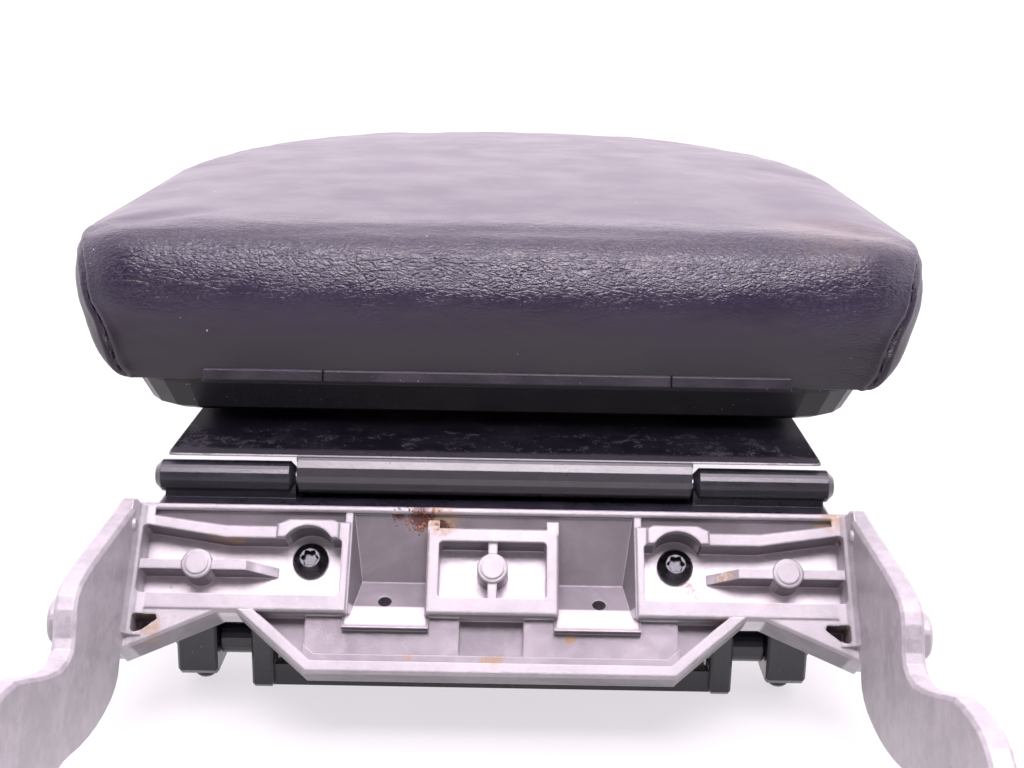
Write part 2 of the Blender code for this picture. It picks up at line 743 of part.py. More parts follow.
        a = web_point(sign * LEDGE_X, mid_s - out_s * 12.0 * MM, mid_n - out_n * 12.0 * MM)
        b = web_point(sign * LEDGE_X, mid_s + out_s * 4.0 * MM, mid_n + out_n * 4.0 * MM)
        cut(web, rod("ledge_hole", LEDGE_HOLE_R, a, b - a, (b - a).length, 20))
    inner = CENTRE_HALF - CENTRE_RIB
    window = [
        (-inner, RIB_TOP_S + RIB_TOP_W),
        (inner, RIB_TOP_S + RIB_TOP_W),
        (inner, RIB_BOTTOM_S0),
        (-inner, RIB_BOTTOM_S0),
    ]
    cut(web, web_prism("window", eased(window, POCKET_R), floor, over))
    bar = 1.1 * MM
    spine = [
        (-bar, RIB_TOP_S + RIB_TOP_W - 1.0 * MM),
        (bar, RIB_TOP_S + RIB_TOP_W - 1.0 * MM),
        (bar, RIB_BOTTOM_S0 + 1.0 * MM),
        (-bar, RIB_BOTTOM_S0 + 1.0 * MM),
    ]
    add(web, web_prism("spine", spine, floor - 1.0 * MM, -0.9 * MM))
    add(web, ejector(0.0))
    add(web, make_arm(-1.0), make_arm(1.0))
    return finish(lay(web), "hinge_bracket", mat)


def make_screw(name, sign, mat):
    """Domed screw with a six-lobe recess, square on the web."""
    seat = -POCKET_DEPTH + GAP
    tip = WEB_BACK - SCREW_GRIP
    shank = -(tip - seat)
    r = SCREW_HEAD_R
    h = SCREW_HEAD_H
    profile = [
        (0.0, 0.0),
        (SCREW_R - 0.5 * MM, 0.0),
        (SCREW_R, 0.8 * MM),
        (SCREW_R, shank),
        (r - 0.2 * MM, shank),
        (r, shank + 0.3 * MM),
        (r, shank + 0.28 * h),
        (0.88 * r, shank + 0.62 * h),
        (0.68 * r, shank + 0.86 * h),
        (0.55 * r, shank + h),
        (0.0, shank + h),
    ]
    base = web_point(sign * SCREW_X, SCREW_S, tip)
    direction = web_point(0.0, 0.0, 1.0) - web_point(0.0, 0.0, 0.0)
    screw = turned(name, profile, base, direction, 24)
    lobes = []
    for i in range(24):
        a = 2.0 * math.pi * i / 24
        radius = r * (0.42 + 0.075 * math.cos(6.0 * a))
        lobes.append((sign * SCREW_X + radius * math.cos(a), SCREW_S + radius * math.sin(a)))
    top = seat + h
    cut(screw, web_prism("star", lobes, top - 1.7 * MM, top + 1.0 * MM))
    return finish(lay(screw), name, mat)


# The carrier, shaft and lever


def make_carrier(mat):
    back = WEB_BACK - GAP
    edge_y, edge_z = web_yz(-GAP, -1.6 * MM)
    step_y, step_z = web_yz(-GAP, back)
    low_y, low_z = web_yz(RIB_BOTTOM_S1 - 1.0 * MM, back)
    outline = [
        (edge_y, edge_z),
        (step_y, step_z),
        (low_y, low_z),
        (low_y + 6.0 * MM, low_z - 1.5 * MM),
        (LUG_FRONT, CARRIER_BOTTOM),
        (CARRIER_BACK - 3.0 * MM, CARRIER_BOTTOM),
        (CARRIER_BACK, CARRIER_BOTTOM + 3.0 * MM),
        (CARRIER_BACK, CARRIER_TOP - 1.0 * MM),
        (CARRIER_BACK - 1.0 * MM, CARRIER_TOP),
        (edge_y + 2.0 * MM, CARRIER_TOP),
    ]
    block = side("carrier", outline, -CARRIER_HALF, CARRIER_HALF, 0.6 * MM)
    lug_outline = [
        (LUG_FRONT, CARRIER_BOTTOM + 4.0 * MM),
        (LUG_FRONT, LUG_BOTTOM + 1.5 * MM),
        (LUG_FRONT + 1.5 * MM, LUG_BOTTOM),
        (LUG_BACK - 5.0 * MM, LUG_BOTTOM),
        (LUG_BACK, LUG_BOTTOM + 6.0 * MM),
        (LUG_BACK, CARRIER_BOTTOM + 4.0 * MM),
    ]
    knuckle_inner = MIDDLE_HALF + RUN
    for sign in (-1.0, 1.0):
        x0, x1 = sorted((sign * knuckle_inner, sign * BARREL_HALF))
        add(block, rod_x("knuckle", BARREL_R, x0, x1, 0.0, 0.0, 24, 1.6 * MM))
        n0, n1 = sorted((sign * knuckle_inner, sign * (CARRIER_HALF - 1.0 * MM)))
        add(block, box("neck", n0, n1, -NECK_BACK, NECK_BACK, CARRIER_TOP - 2.0 * MM, -1.0 * MM))
        l0, l1 = sorted((sign * LUG_INNER, sign * (LUG_INNER + LUG_T)))
        add(block, side("lug", lug_outline, l0, l1, 0.7 * MM))
        nub_y = LUG_FRONT + 6.5 * MM
        nub = rod_z("nub", NUB_R, sign * NUB_X, nub_y, LUG_BOTTOM - NUB_H, LUG_BOTTOM + 1.0 * MM, 16, 0.7 * MM)
        add(block, nub)
        bore0, bore1 = sorted((sign * (knuckle_inner - 2.0 * MM), sign * (PIN_HALF + GAP)))
        cut(block, rod_x("bore", PIN_R + GAP, bore0, bore1, 0.0, 0.0, 16))
        deep = WEB_BACK - SCREW_GRIP - GAP
        cut(block, lay(web_rod("hole", SCREW_R + GAP, sign * SCREW_X, SCREW_S, deep, 0.0, 16)))
    half = LUG_INNER + LUG_T + 5.0 * MM
    cut(block, rod_x("shaft_bore", SHAFT_R + GAP, -half, half, SHAFT_Y, SHAFT_Z, 20))
    return finish(block, "hinge_carrier", mat)


def make_lever(mat):
    """Two cheeks with outer hubs, joined by a crossbar under the shaft."""
    y, z = SHAFT_Y, SHAFT_Z
    inner = CHEEK_OUTER - CHEEK_T
    bar_y0 = y + CROSSBAR_Y0
    bar_y1 = y + CROSSBAR_Y1
    bar_z0 = z + CHEEK_BOTTOM
    lever = box("lever", -inner - 1.0 * MM, inner + 1.0 * MM, bar_y0, bar_y1, bar_z0, bar_z0 + CROSSBAR_H, 0.8 * MM)
    half = CHEEK_HALF_Y
    cheek = [
        (y - half + 1.0 * MM, z + CHEEK_BOTTOM),
        (y + half - 4.0 * MM, z + CHEEK_BOTTOM),
        (y + half, z + CHEEK_BOTTOM + 4.0 * MM),
        (y + half, z + CHEEK_TOP - 3.0 * MM),
        (y + half - 3.0 * MM, z + CHEEK_TOP),
        (y - half + 3.0 * MM, z + CHEEK_TOP),
        (y - half, z + CHEEK_TOP - 3.0 * MM),
        (y - half, z + CHEEK_BOTTOM + 1.0 * MM),
    ]
    hub_end = LUG_INNER - GAP
    for sign in (-1.0, 1.0):
        x0, x1 = sorted((sign * inner, sign * CHEEK_OUTER))
        add(lever, side("cheek", cheek, x0, x1, 0.6 * MM))
        h0, h1 = sorted((sign * (CHEEK_OUTER - 1.0 * MM), sign * hub_end))
        add(lever, rod_x("hub", HUB_R, h0, h1, y, z, 20, 0.4 * MM))
    cut(lever, rod_x("bore", SHAFT_R + GAP, -hub_end - 5.0 * MM, hub_end + 5.0 * MM, y, z, 20))
    place = (0.0, HINGE_Y + SHAFT_Y, HINGE_Z + SHAFT_Z)
    return finish(lever, "stop_lever", mat, origin=place)


def tube_along(name, points, r, sides=6):
    """Round bar along the points, closed at both ends."""
    bm = bmesh.new()
    rings = []
    for i, point in enumerate(points):
        before = points[max(i - 1, 0)]
        after = points[min(i + 1, len(points) - 1)]
        along = (after - before).normalized()
        across = along.cross(Vector((1.0, 0.0, 0.0)))
        if across.length < 1e-3:
            across = Vector((0.0, 0.0, 1.0))
        across.normalize()
        third = along.cross(across)
        ring = []
        for x, y in circle(0.0, 0.0, r, sides):
            ring.append(bm.verts.new(point + across * x + third * y))
        rings.append(ring)
    for low, high in zip(rings, rings[1:]):
        for i in range(sides):
            j = (i + 1) % sides
            bm.faces.new((low[i], low[j], high[j], high[i]))
    bm.faces.new(rings[0])
    bm.faces.new(list(reversed(rings[-1])))
    return new_object(name, bm)


def make_spring(name, sign, mat):
    """Torsion spring round the shaft, inside one cheek, with a leg on the crossbar."""
    coil_r = SHAFT_R + GAP + SPRING_WIRE_R
    start = CHEEK_OUTER - CHEEK_T - GAP - SPRING_WIRE_R
    points = []
    steps = int(SPRING_TURNS * SPRING_STEPS)
    first = math.radians(180.0)
    for i in range(steps + 1):
        turn = first + 2.0 * math.pi * i / SPRING_STEPS
        x = start - SPRING_PITCH * i / SPRING_STEPS
        y = coil_r * math.cos(turn)
        z = coil_r * math.sin(turn)
        points.append(Vector((sign * x, HINGE_Y + SHAFT_Y + y, HINGE_Z + SHAFT_Z + z)))
    drop = Vector((0.0, 0.0, -1.0))
    room = CHEEK_BOTTOM + CROSSBAR_H + GAP + SPRING_WIRE_R
    leg = [points[0] + drop * d for d in (-room, -0.5 * room)]
    points = leg + points
    end = points[-1]
    points = points + [end + Vector((0.0, 0.0, 1.0)) * d for d in (0.4 * SPRING_LEG, SPRING_LEG)]
    place = (0.0, HINGE_Y + SHAFT_Y, HINGE_Z + SHAFT_Z)
    return finish(tube_along(name, points, SPRING_WIRE_R), name, mat, origin=place)


# The tray


def rounded_plate(half, rear, front, rear_r, front_r, steps=6):
    """Plan outline of a plate with rounded corners."""
    line = []
    quarter = math.pi / 2.0
    line += circle(half - rear_r, rear + rear_r, rear_r, steps, -quarter, 0.0)
    line += circle(half - front_r, front - front_r, front_r, steps, 0.0, quarter)
    line += circle(-half + front_r, front - front_r, front_r, steps, quarter, 2.0 * quarter)
    line += circle(-half + rear_r, rear + rear_r, rear_r, steps, 2.0 * quarter, 3.0 * quarter)
    return line


def rib_positions():
    count = TRAY_RIBS_EACH_SIDE
    return [i * TRAY_RIB_STEP for i in range(-count, count + 1)]


def make_tray(mat):
    low = PLATE_TOP - PLATE_T
    outline = rounded_plate(PLATE_HALF, PLATE_REAR, PLATE_FRONT, PLATE_CORNER, PLATE_FRONT_CORNER)
    tray = plan("tray", outline, low, PLATE_TOP, 0.3 * MM)
    slope = (PLATE_T - PLATE_EDGE_T) / PLATE_EDGE_RUN
    edge = PLATE_TOP - PLATE_EDGE_T
    thin = [
        (PLATE_REAR - MM, low - MM),
        (PLATE_REAR + PLATE_EDGE_RUN, low - MM),
        (PLATE_REAR + PLATE_EDGE_RUN, low),
        (PLATE_REAR - MM, edge + slope * MM),
    ]
    for sign in (-1.0, 1.0):
        x0, x1 = sorted((sign * (MIDDLE_HALF + GAP), sign * (PLATE_HALF + MM)))
        cut(tray, side("thin", thin, x0, x1))
    side_gap = MIDDLE_HALF
    knuckle = rod_x("knuckle", BARREL_R, -side_gap, side_gap, 0.0, 0.0, 24, 0.4 * MM)
    web = [
        (-BARREL_R, 0.0),
        (-BARREL_R + 0.15 * MM, 1.6 * MM),
        (-BARREL_R + 0.9 * MM, 3.6 * MM),
        (-BARREL_R + 2.1 * MM, 5.2 * MM),
        (PLATE_REAR + 0.6 * MM, PLATE_TOP - 0.3 * MM),
        (PLATE_REAR + 3.0 * MM, PLATE_TOP),
        (HEEL_Y, PLATE_TOP),
        (HEEL_Y + 8.0 * MM, low + 0.5 * MM),
        (HEEL_Y, CARRIER_TOP + GAP),
        (BARREL_R + 1.2 * MM, CARRIER_TOP + GAP),
        (0.5 * BARREL_R, -0.5 * BARREL_R),
    ]
    web[5] = (PLATE_REAR + 3.0 * MM, PLATE_TOP - 0.05 * MM)
    web[6] = (HEEL_Y, PLATE_TOP - 0.05 * MM)
    add(tray, side("blend", web, -side_gap, side_gap), knuckle)
    rib_low = low - TRAY_RIB_H
    rib_front = PLATE_FRONT - PLATE_FRONT_CORNER
    for x in rib_positions():
        x0 = x - TRAY_RIB_T / 2.0
        rear = TRAY_RIB_REAR
        rib = [(rear, low + 0.5 * MM), (rear + 5.0 * MM, rib_low), (rib_front, rib_low), (rib_front, low + 0.5 * MM)]
        add(tray, side("rib", rib, x0, x0 + TRAY_RIB_T))
    for x, y in liner_screws():
        add(tray, rod_z("post", SMALL_SCREW_R + 1.7 * MM, x, y, rib_low, low + 0.5 * MM, 16))
        cut(tray, rod_z("hole", SMALL_SCREW_R + GAP, x, y, rib_low - 1.0 * MM, low - 0.4 * MM, 12))
    slot_r = STOP_R + RUN
    slot = circle(0.0, STOP_Y, slot_r, 12, math.pi, 2.0 * math.pi)
    slot += circle(0.0, STOP_Y + TRAVEL, slot_r, 12, 0.0, math.pi)
    room = STOP_HEAD_R + RUN
    well = circle(0.0, STOP_Y, room, 12, math.pi, 2.0 * math.pi)
    well += circle(0.0, STOP_Y + TRAVEL, room, 12, 0.0, math.pi)
    cut(tray, plan("slot", slot, rib_low - 2.0 * MM, PLATE_TOP + 2.0 * MM))
    cut(tray, plan("well", well, rib_low - 2.0 * MM, low - 0.01 * MM))
    cut(tray, rod_x("bore", PIN_R + GAP, -BARREL_HALF, BARREL_HALF, 0.0, 0.0, 16))
    place = (0.0, HINGE_Y, HINGE_Z)
    return finish(tray, "slide_tray", mat, origin=place)


def liner_screws():
    rear = TRAY_RIB_REAR + LINER_SCREW_INSET
    front = PLATE_FRONT - PLATE_FRONT_CORNER - LINER_SCREW_INSET
    return [(x, y) for y in (rear, front) for x in (-LINER_SCREW_X, LINER_SCREW_X)]


def make_liner(mat):
    """Shallow pan under the tray's ribs."""
    top = PLATE_TOP - PLATE_T - TRAY_RIB_H - GAP
    rear = TRAY_RIB_REAR - LINER_T - GAP
    front = PLATE_FRONT - PLATE_FRONT_CORNER + LINER_T + GAP
    outline = rounded_plate(LINER_HALF, rear, front, 3.0 * MM, 3.0 * MM, 4)
    pan = plan("liner", outline, top - LINER_T, top + LINER_WALL_H, 0.5 * MM)
    inner = rounded_plate(
        LINER_HALF - LINER_T,
        rear + LINER_T,
        front - LINER_T,
        3.0 * MM - LINER_T,
        3.0 * MM - LINER_T,
        4,
    )
    cut(pan, plan("hollow", inner, top, top + LINER_WALL_H + 2.0 * MM))
    for x, y in liner_screws():
        cut(pan, rod_z("hole", SMALL_SCREW_R + GAP, x, y, top - 5.0 * MM, top + 2.0 * MM, 12))
    return finish(pan, "tray_liner", mat)


def small_screw(name, x, y, head_z, length, mat, up=1.0):
    """Pan-head screw pointing up (or down), its head face at head_z."""
    r = SMALL_SCREW_R
    head = SMALL_HEAD_R
    h = SMALL_HEAD_H
    profile = [
        (0.0, -h),
        (0.7 * head, -h),
        (head, -0.45 * h),
        (head, 0.0),
        (r, 0.0),
        (r, length - 0.6 * MM),
        (0.5 * r, length),
        (0.0, length),
    ]
    screw = turned(name, profile, (x, HINGE_Y + y, HINGE_Z + head_z), (0.0, 0.0, up), 12)
    star = []
    for i in range(12):
        a = 2.0 * math.pi * i / 12
        radius = head * (0.36 if i % 2 == 0 else 0.26)
        star.append((x + radius * math.cos(a), y + radius * math.sin(a)))
    face = head_z - up * h
    z0, z1 = sorted((face - up * 1.0 * MM, face + up * 0.9 * MM))
    cut(screw, plan("star", star, z0, z1))
    return finish(screw, name, mat)


# The lid


def pad_outline(grow, level):
    """Plan outline at a height, level 0 at the pad's foot to 1 at its top edge."""
    if level < PAD_WIDEST:
        t = level / PAD_WIDEST
        bulge = math.sin(0.5 * math.pi * t) ** PAD_BULGE
        wide = PAD_HALF_BOTTOM + (PAD_HALF - PAD_HALF_BOTTOM) * bulge
    else:
        wide = PAD_HALF
    rear = PAD_REAR + PAD_REAR_LEAN * level * level * 0.55 + PAD_REAR_LEAN * level * 0.45
    taper = PAD_HALF - wide
    half = wide + grow
    back = rear - grow
    front = PAD_REAR + PAD_LENGTH - 0.6 * taper + grow
    ease = min(1.0, level / PAD_CORNER_EASE)
    corner = PAD_FOOT_CORNER + (PAD_REAR_CORNER - PAD_FOOT_CORNER) * ease * ease * (3.0 - 2.0 * ease)
    corner = max(corner + grow, 2.0 * MM)
    middle = PAD_REAR + PAD_STRAIGHT
    line = []
    count = 6
    line += circle(half - corner, back + corner, corner, count, -math.pi / 2.0, 0.0)
    for i in range(OUTLINE_STEPS * 2 + 1):
        a = math.pi * i / (OUTLINE_STEPS * 2)
        side = math.copysign(abs(math.cos(a)) ** PAD_FRONT_FULL, math.cos(a))
        ahead = max(0.0, math.sin(a)) ** PAD_FRONT_FULL
        line.append(((half + PAD_BELLY) * side, middle + (front - middle) * ahead))
    line += circle(-half + corner, back + corner, corner, count, math.pi, 1.5 * math.pi)
    return line


def pad_loops(grow, foot):
    """Rings of the pad's outer form, moved out by grow, from the foot up to the crown."""
    base = shell_top() + GAP
    rings = []
    for i in range(LEVELS):
        t = i / (LEVELS - 1)
        if i < LEVELS - 4:
            u = t / ((LEVELS - 5) / (LEVELS - 1))
            level = u ** PAD_RING_EASE * (1.0 - PAD_EDGE_R / PAD_HEIGHT)
            shrink = 0.0
        else:
            a = (i - (LEVELS - 5)) / 4.0 * math.radians(80.0)
            level = 1.0 - PAD_EDGE_R / PAD_HEIGHT * (1.0 - math.sin(a))
            shrink = PAD_EDGE_R * (1.0 - math.cos(a))
        z = base + level * (PAD_HEIGHT + grow)
        if z < foot:
            level = (foot - base) / PAD_HEIGHT
            z = foot
        line = pad_outline(grow - shrink, level)
        rings.append([(x, y, z) for x, y in line])
    return rings


def loft(name, rings, cap_top):
    bm = bmesh.new()
    rows = [[bm.verts.new((x, HINGE_Y + y, HINGE_Z + z)) for x, y, z in ring] for ring in rings]
    count = len(rows[0])
    for low, high in zip(rows, rows[1:]):
        for i in range(count):
            j = (i + 1) % count
            bm.faces.new((low[i], low[j], high[j], high[i]))
    last = rows[-1]
    for k in (0.72, 0.4):
        ring = rings[-1]
        cx = 0.0
        cy = sum(p[1] for p in ring) / count
        row = []
        rise = cap_top * (1.0 - k * k)
        for x, y, z in ring:
            row.append(bm.verts.new((cx + (x - cx) * k, HINGE_Y + cy + (y - cy) * k, HINGE_Z + z + rise)))
        for i in range(count):
            j = (i + 1) % count
            bm.faces.new((last[i], last[j], row[j], row[i]))
        last = row
    ring = rings[-1]
    cy = sum(p[1] for p in ring) / count
    tip = bm.verts.new((0.0, HINGE_Y + cy, HINGE_Z + ring[0][2] + cap_top))
    for i in range(count):
        j = (i + 1) % count
        bm.faces.new((last[i], last[j], tip))
    bm.faces.new(list(reversed(rows[0])))
    return new_object(name, bm)


def shell_bottom():
    return PLATE_TOP + SHELL_LIFT


def shell_top():
    return shell_bottom() + SHELL_H


def make_cover(mat):
    """Leather skin: the pad's outer form less the room for foam and board, with a hem below."""
    foot = shell_top() + GAP
    cover = loft("cover", pad_loops(0.0, foot), PAD_CROWN)
    room_low = foot + LEATHER_T
    cut(cover, loft("room", pad_loops(-LEATHER_T, room_low), PAD_CROWN))
    opening = pad_outline(-LEATHER_T - HEM_IN, 0.0)
    cut(cover, plan("opening", opening, foot - 3.0 * MM, room_low + 1.0 * MM))
    return finish(cover, "leather_cover", mat, 40.0)


def make_foam(mat):
    low = shell_top() + GAP + LEATHER_T + GAP + BOARD_T + GAP
    shrink = LEATHER_T + 2.0 * GAP
    foam = loft("foam", pad_loops(-shrink, low), PAD_CROWN)
    return finish(foam, "foam_pad", mat, 40.0)


def make_board(mat):
    low = shell_top() + GAP + LEATHER_T + GAP
    outline = pad_outline(-LEATHER_T - GAP - BOARD_EASE, 0.0)
    board = plan("board", outline, low, low + BOARD_T, 0.3 * MM)
    boss_top = low
    for x, y in board_screws():
        add(board, rod_z("boss", 3.6 * MM, x, y, shell_bottom() + SHELL_WALL + GAP, boss_top + 1.0 * MM, 16))
        cut(board, rod_z("hole", SMALL_SCREW_R + GAP, x, y, shell_bottom(), low + BOARD_T - 0.5 * MM, 12))
    return finish(board, "base_board", mat)


def board_screws():
    ys = (BOARD_SCREW_REAR, BOARD_SCREW_FRONT)
    return [(x, y) for y in ys for x in (-BOARD_SCREW_X, BOARD_SCREW_X)]


def shell_ring(half, rear, front, corner, z):
    middle = PAD_REAR + PAD_STRAIGHT
    line = []
    line += circle(half - corner, rear + corner, corner, 5, -math.pi / 2.0, 0.0)
    for i in range(OUTLINE_STEPS * 2 + 1):
        a = math.pi * i / (OUTLINE_STEPS * 2)
        line.append((half * math.cos(a), middle + (front - middle) * math.sin(a)))
    line += circle(-half + corner, rear + corner, corner, 5, math.pi, 1.5 * math.pi)
    return [(x, y, z) for x, y in line]


def stack(name, rings):
    bm = bmesh.new()
    rows = [[bm.verts.new((x, HINGE_Y + y, HINGE_Z + z)) for x, y, z in ring] for ring in rings]
    count = len(rows[0])
    for low, high in zip(rows, rows[1:]):
        for i in range(count):
            j = (i + 1) % count
            bm.faces.new((low[i], low[j], high[j], high[i]))
    bm.faces.new(list(reversed(rows[0])))
    bm.faces.new(rows[-1])
    return new_object(name, bm)


def make_shell(mat):
    """Shallow tub with slanted sides."""
    z0 = shell_bottom()
    z1 = shell_top()
    wall = SHELL_WALL
    pad_front = PAD_REAR + PAD_LENGTH
    front_low = pad_front - SHELL_FRONT_LOW
    front_top = pad_front - SHELL_FRONT_TOP
    rear_top = SHELL_REAR - SHELL_REAR_LEAN
    corner = SHELL_CORNER
    chamfer = 1.6 * MM
    outer = [
        shell_ring(SHELL_HALF_BOTTOM - chamfer, SHELL_REAR + chamfer, front_low - chamfer, corner, z0),
        shell_ring(SHELL_HALF_BOTTOM, SHELL_REAR, front_low, corner, z0 + 1.0 * MM),
        shell_ring(SHELL_HALF_TOP, rear_top, front_top, corner + 2.0 * MM, z1 - 1.2 * MM),
        shell_ring(SHELL_HALF_TOP + 0.3 * MM, rear_top, front_top, corner + 2.0 * MM, z1),
    ]
    tub = stack("shell", outer)
    inner = [
        shell_ring(SHELL_HALF_BOTTOM - wall, SHELL_REAR + wall, front_low - wall, corner - wall, z0 + wall),
        shell_ring(SHELL_HALF_TOP - wall, rear_top + wall, front_top - wall, corner + 2.0 * MM - wall, z1 + 0.5 * MM),
    ]
    cut(tub, stack("hollow", inner))
    for x, y in board_screws():
        cut(tub, rod_z("hole", SMALL_SCREW_R + GAP, x, y, z0 - 2.0 * MM, z0 + wall + 2.0 * MM, 12))
    cut(tub, rod_z("stop_hole", STOP_R - 1.0 * MM + GAP, 0.0, STOP_Y, z0 - 2.0 * MM, z0 + wall + 2.0 * MM, 16))
    return finish(tub, "lower_shell", mat)


def clip_profile():
    """Angle strip over the hem's rear edge, (y, z) from the hinge axis."""
    foot = shell_top() + GAP
    rear = PAD_REAR - GAP
    lean = 0.24
    return [
        (rear, foot),
        (rear - CLIP_T, foot),
        (rear - CLIP_T - 0.3 * MM, foot + 0.8 * MM),
        (rear - CLIP_T + lean * CLIP_H * 0.6, foot + CLIP_H - 0.4 * MM),
        (rear - 0.4 * CLIP_T + lean * CLIP_H * 0.6, foot + CLIP_H),
    ]


def make_clip(name, x0, x1, mat):
    return finish(side(name, clip_profile(), x0, x1, 0.2 * MM), name, mat)


def make_shoe(name, sign, y0, mat):
    """C-shaped shoe round the plate's edge, hung from the shell."""
    top = shell_bottom() - GAP
    low = PLATE_TOP - PLATE_T - RUN
    reach = PLATE_HALF - 14.0 * MM
    outer = PLATE_HALF + RUN + SHOE_T
    section = [
        (reach, top),
        (outer, top),
        (outer, low - SHOE_T),
        (PLATE_HALF - SHOE_LIP, low - SHOE_T),
        (PLATE_HALF - SHOE_LIP, low),
        (PLATE_HALF + RUN, low),
        (PLATE_HALF + RUN, PLATE_TOP + GAP),
        (reach, PLATE_TOP + GAP),
    ]
    points = [Vector((sign * x, HINGE_Y + y0, HINGE_Z + z)) for x, z in section]
    shoe = extrude(name, points, Vector((0.0, SHOE_L, 0.0)), 0.25 * MM)
    return finish(shoe, name, mat)


def make_stop(mat):
    """Shoulder pin from the shell through the tray's slot, with a head under the plate."""
    top = shell_bottom() + SHELL_WALL + 1.5 * MM
    low = PLATE_TOP - PLATE_T - RUN
    r = STOP_R
    profile = [
        (0.0, low - STOP_HEAD_H),
        (STOP_HEAD_R - 0.4 * MM, low - STOP_HEAD_H),
        (STOP_HEAD_R, low - STOP_HEAD_H + 0.4 * MM),
        (STOP_HEAD_R, low),
        (r, low),
        (r, shell_bottom() - GAP),
        (r - 1.0 * MM, shell_bottom() - GAP),
        (r - 1.0 * MM, top),
        (0.0, top),
    ]
    point = (0.0, HINGE_Y + STOP_Y, HINGE_Z)
    return finish(turned("stop", profile, point, (0.0, 0.0, 1.0), 16), "slide_stop_pin", mat)


def build():
    clear_scene()
    alloy = material("cast_alloy", (0.62, 0.61, 0.63), 0.42, 1.0)
    black = material("black_moulding", (0.022, 0.021, 0.026), 0.42)
    gloss = material("gloss_black", (0.012, 0.011, 0.015), 0.22)
    steel = material("steel", (0.55, 0.55, 0.56), 0.32, 1.0)
    dark = material("black_steel", (0.035, 0.034, 0.038), 0.3, 0.9)
    leather = material("leather", (0.075, 0.07, 0.082), 0.5)
    foam = material("foam", (0.33, 0.3, 0.24), 0.95)
    strip = material("hem_strip", (0.045, 0.04, 0.05), 0.5)
    nylon = material("nylon", (0.6, 0.59, 0.55), 0.55)

    make_bracket(alloy)
    make_carrier(black)
    make_screw("carrier_screw_left", -1.0, dark)
    make_screw("carrier_screw_right", 1.0, dark)
    finish(rod_x("pin", PIN_R, -PIN_HALF, PIN_HALF, 0.0, 0.0, 16, 0.4 * MM), "hinge_pin", steel)
    end = LUG_INNER + LUG_T + SHAFT_OUT
    finish(rod_x("shaft", SHAFT_R, -end, end, SHAFT_Y, SHAFT_Z, 20, 0.6 * MM), "lower_shaft", dark)
    make_lever(black)
    make_spring("lever_spring_left", -1.0, steel)
    make_spring("lever_spring_right", 1.0, steel)
    make_tray(gloss)
    make_liner(black)
    liner_top = PLATE_TOP - PLATE_T - TRAY_RIB_H - GAP
    ends = ("rear_left", "rear_right", "front_left", "front_right")
    for tag, (x, y) in zip(ends, liner_screws()):
        small_screw("liner_screw_" + tag, x, y, liner_top - LINER_T - GAP, 8.0 * MM, dark)
    make_cover(leather)
    make_foam(foam)
    make_board(black)
    make_shell(black)
    make_clip("hem_clip_centre", -CLIP_CENTRE_HALF, CLIP_CENTRE_HALF, strip)
    make_clip("hem_clip_left", -CLIP_OUTER, -CLIP_CENTRE_HALF - GAP, strip)
    make_clip("hem_clip_right", CLIP_CENTRE_HALF + GAP, CLIP_OUTER, strip)
    for tag, sign, y in (
        ("rear_left", -1.0, SHOE_REAR),
        ("rear_right", 1.0, SHOE_REAR),
        ("front_left", -1.0, SHOE_FRONT),
        ("front_right", 1.0, SHOE_FRONT),
    ):
        make_shoe("glide_shoe_" + tag, sign, y, nylon)
    for tag, (x, y) in zip(ends, board_screws()):
        head = shell_bottom() - GAP
        small_screw("board_screw_" + tag, x, y, head, 9.0 * MM, dark)
    make_stop(steel)


build()
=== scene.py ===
"""Looks of the car armrest: leather pad, black slide plate and hinge, cast alloy bracket."""

import math

import bmesh
import bpy
import numpy as np
from mathutils import Matrix, Vector, kdtree, noise
from mathutils.bvhtree import BVHTree


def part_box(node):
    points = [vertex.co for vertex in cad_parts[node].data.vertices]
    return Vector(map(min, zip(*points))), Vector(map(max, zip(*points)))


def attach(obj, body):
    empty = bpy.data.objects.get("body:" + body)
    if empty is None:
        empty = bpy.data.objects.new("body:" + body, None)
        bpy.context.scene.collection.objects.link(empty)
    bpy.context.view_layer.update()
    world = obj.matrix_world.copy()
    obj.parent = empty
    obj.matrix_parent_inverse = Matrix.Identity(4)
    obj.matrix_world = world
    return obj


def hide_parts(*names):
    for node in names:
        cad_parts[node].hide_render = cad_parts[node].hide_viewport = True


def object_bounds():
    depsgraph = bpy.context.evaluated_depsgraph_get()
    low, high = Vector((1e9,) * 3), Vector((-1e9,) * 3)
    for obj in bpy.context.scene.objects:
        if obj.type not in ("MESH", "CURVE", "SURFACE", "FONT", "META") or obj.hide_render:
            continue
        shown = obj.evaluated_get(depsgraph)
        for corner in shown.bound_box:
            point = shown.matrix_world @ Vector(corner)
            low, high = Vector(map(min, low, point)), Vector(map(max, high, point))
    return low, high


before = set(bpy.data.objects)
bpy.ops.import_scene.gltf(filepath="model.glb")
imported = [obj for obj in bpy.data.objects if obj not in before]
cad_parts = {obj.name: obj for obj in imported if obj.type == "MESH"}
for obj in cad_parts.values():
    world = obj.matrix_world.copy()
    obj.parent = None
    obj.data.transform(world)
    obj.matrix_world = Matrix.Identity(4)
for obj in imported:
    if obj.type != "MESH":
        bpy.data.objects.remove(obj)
cad_box = [list(corner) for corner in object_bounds()]

MM = 0.001

# Camera of the photograph
CAMERA_AT = (0.004, -0.291, 0.1382)
CAMERA_DOWN = math.radians(15.5)
CAMERA_ROLL = math.radians(1.0)
CAMERA_LENS = 49.22

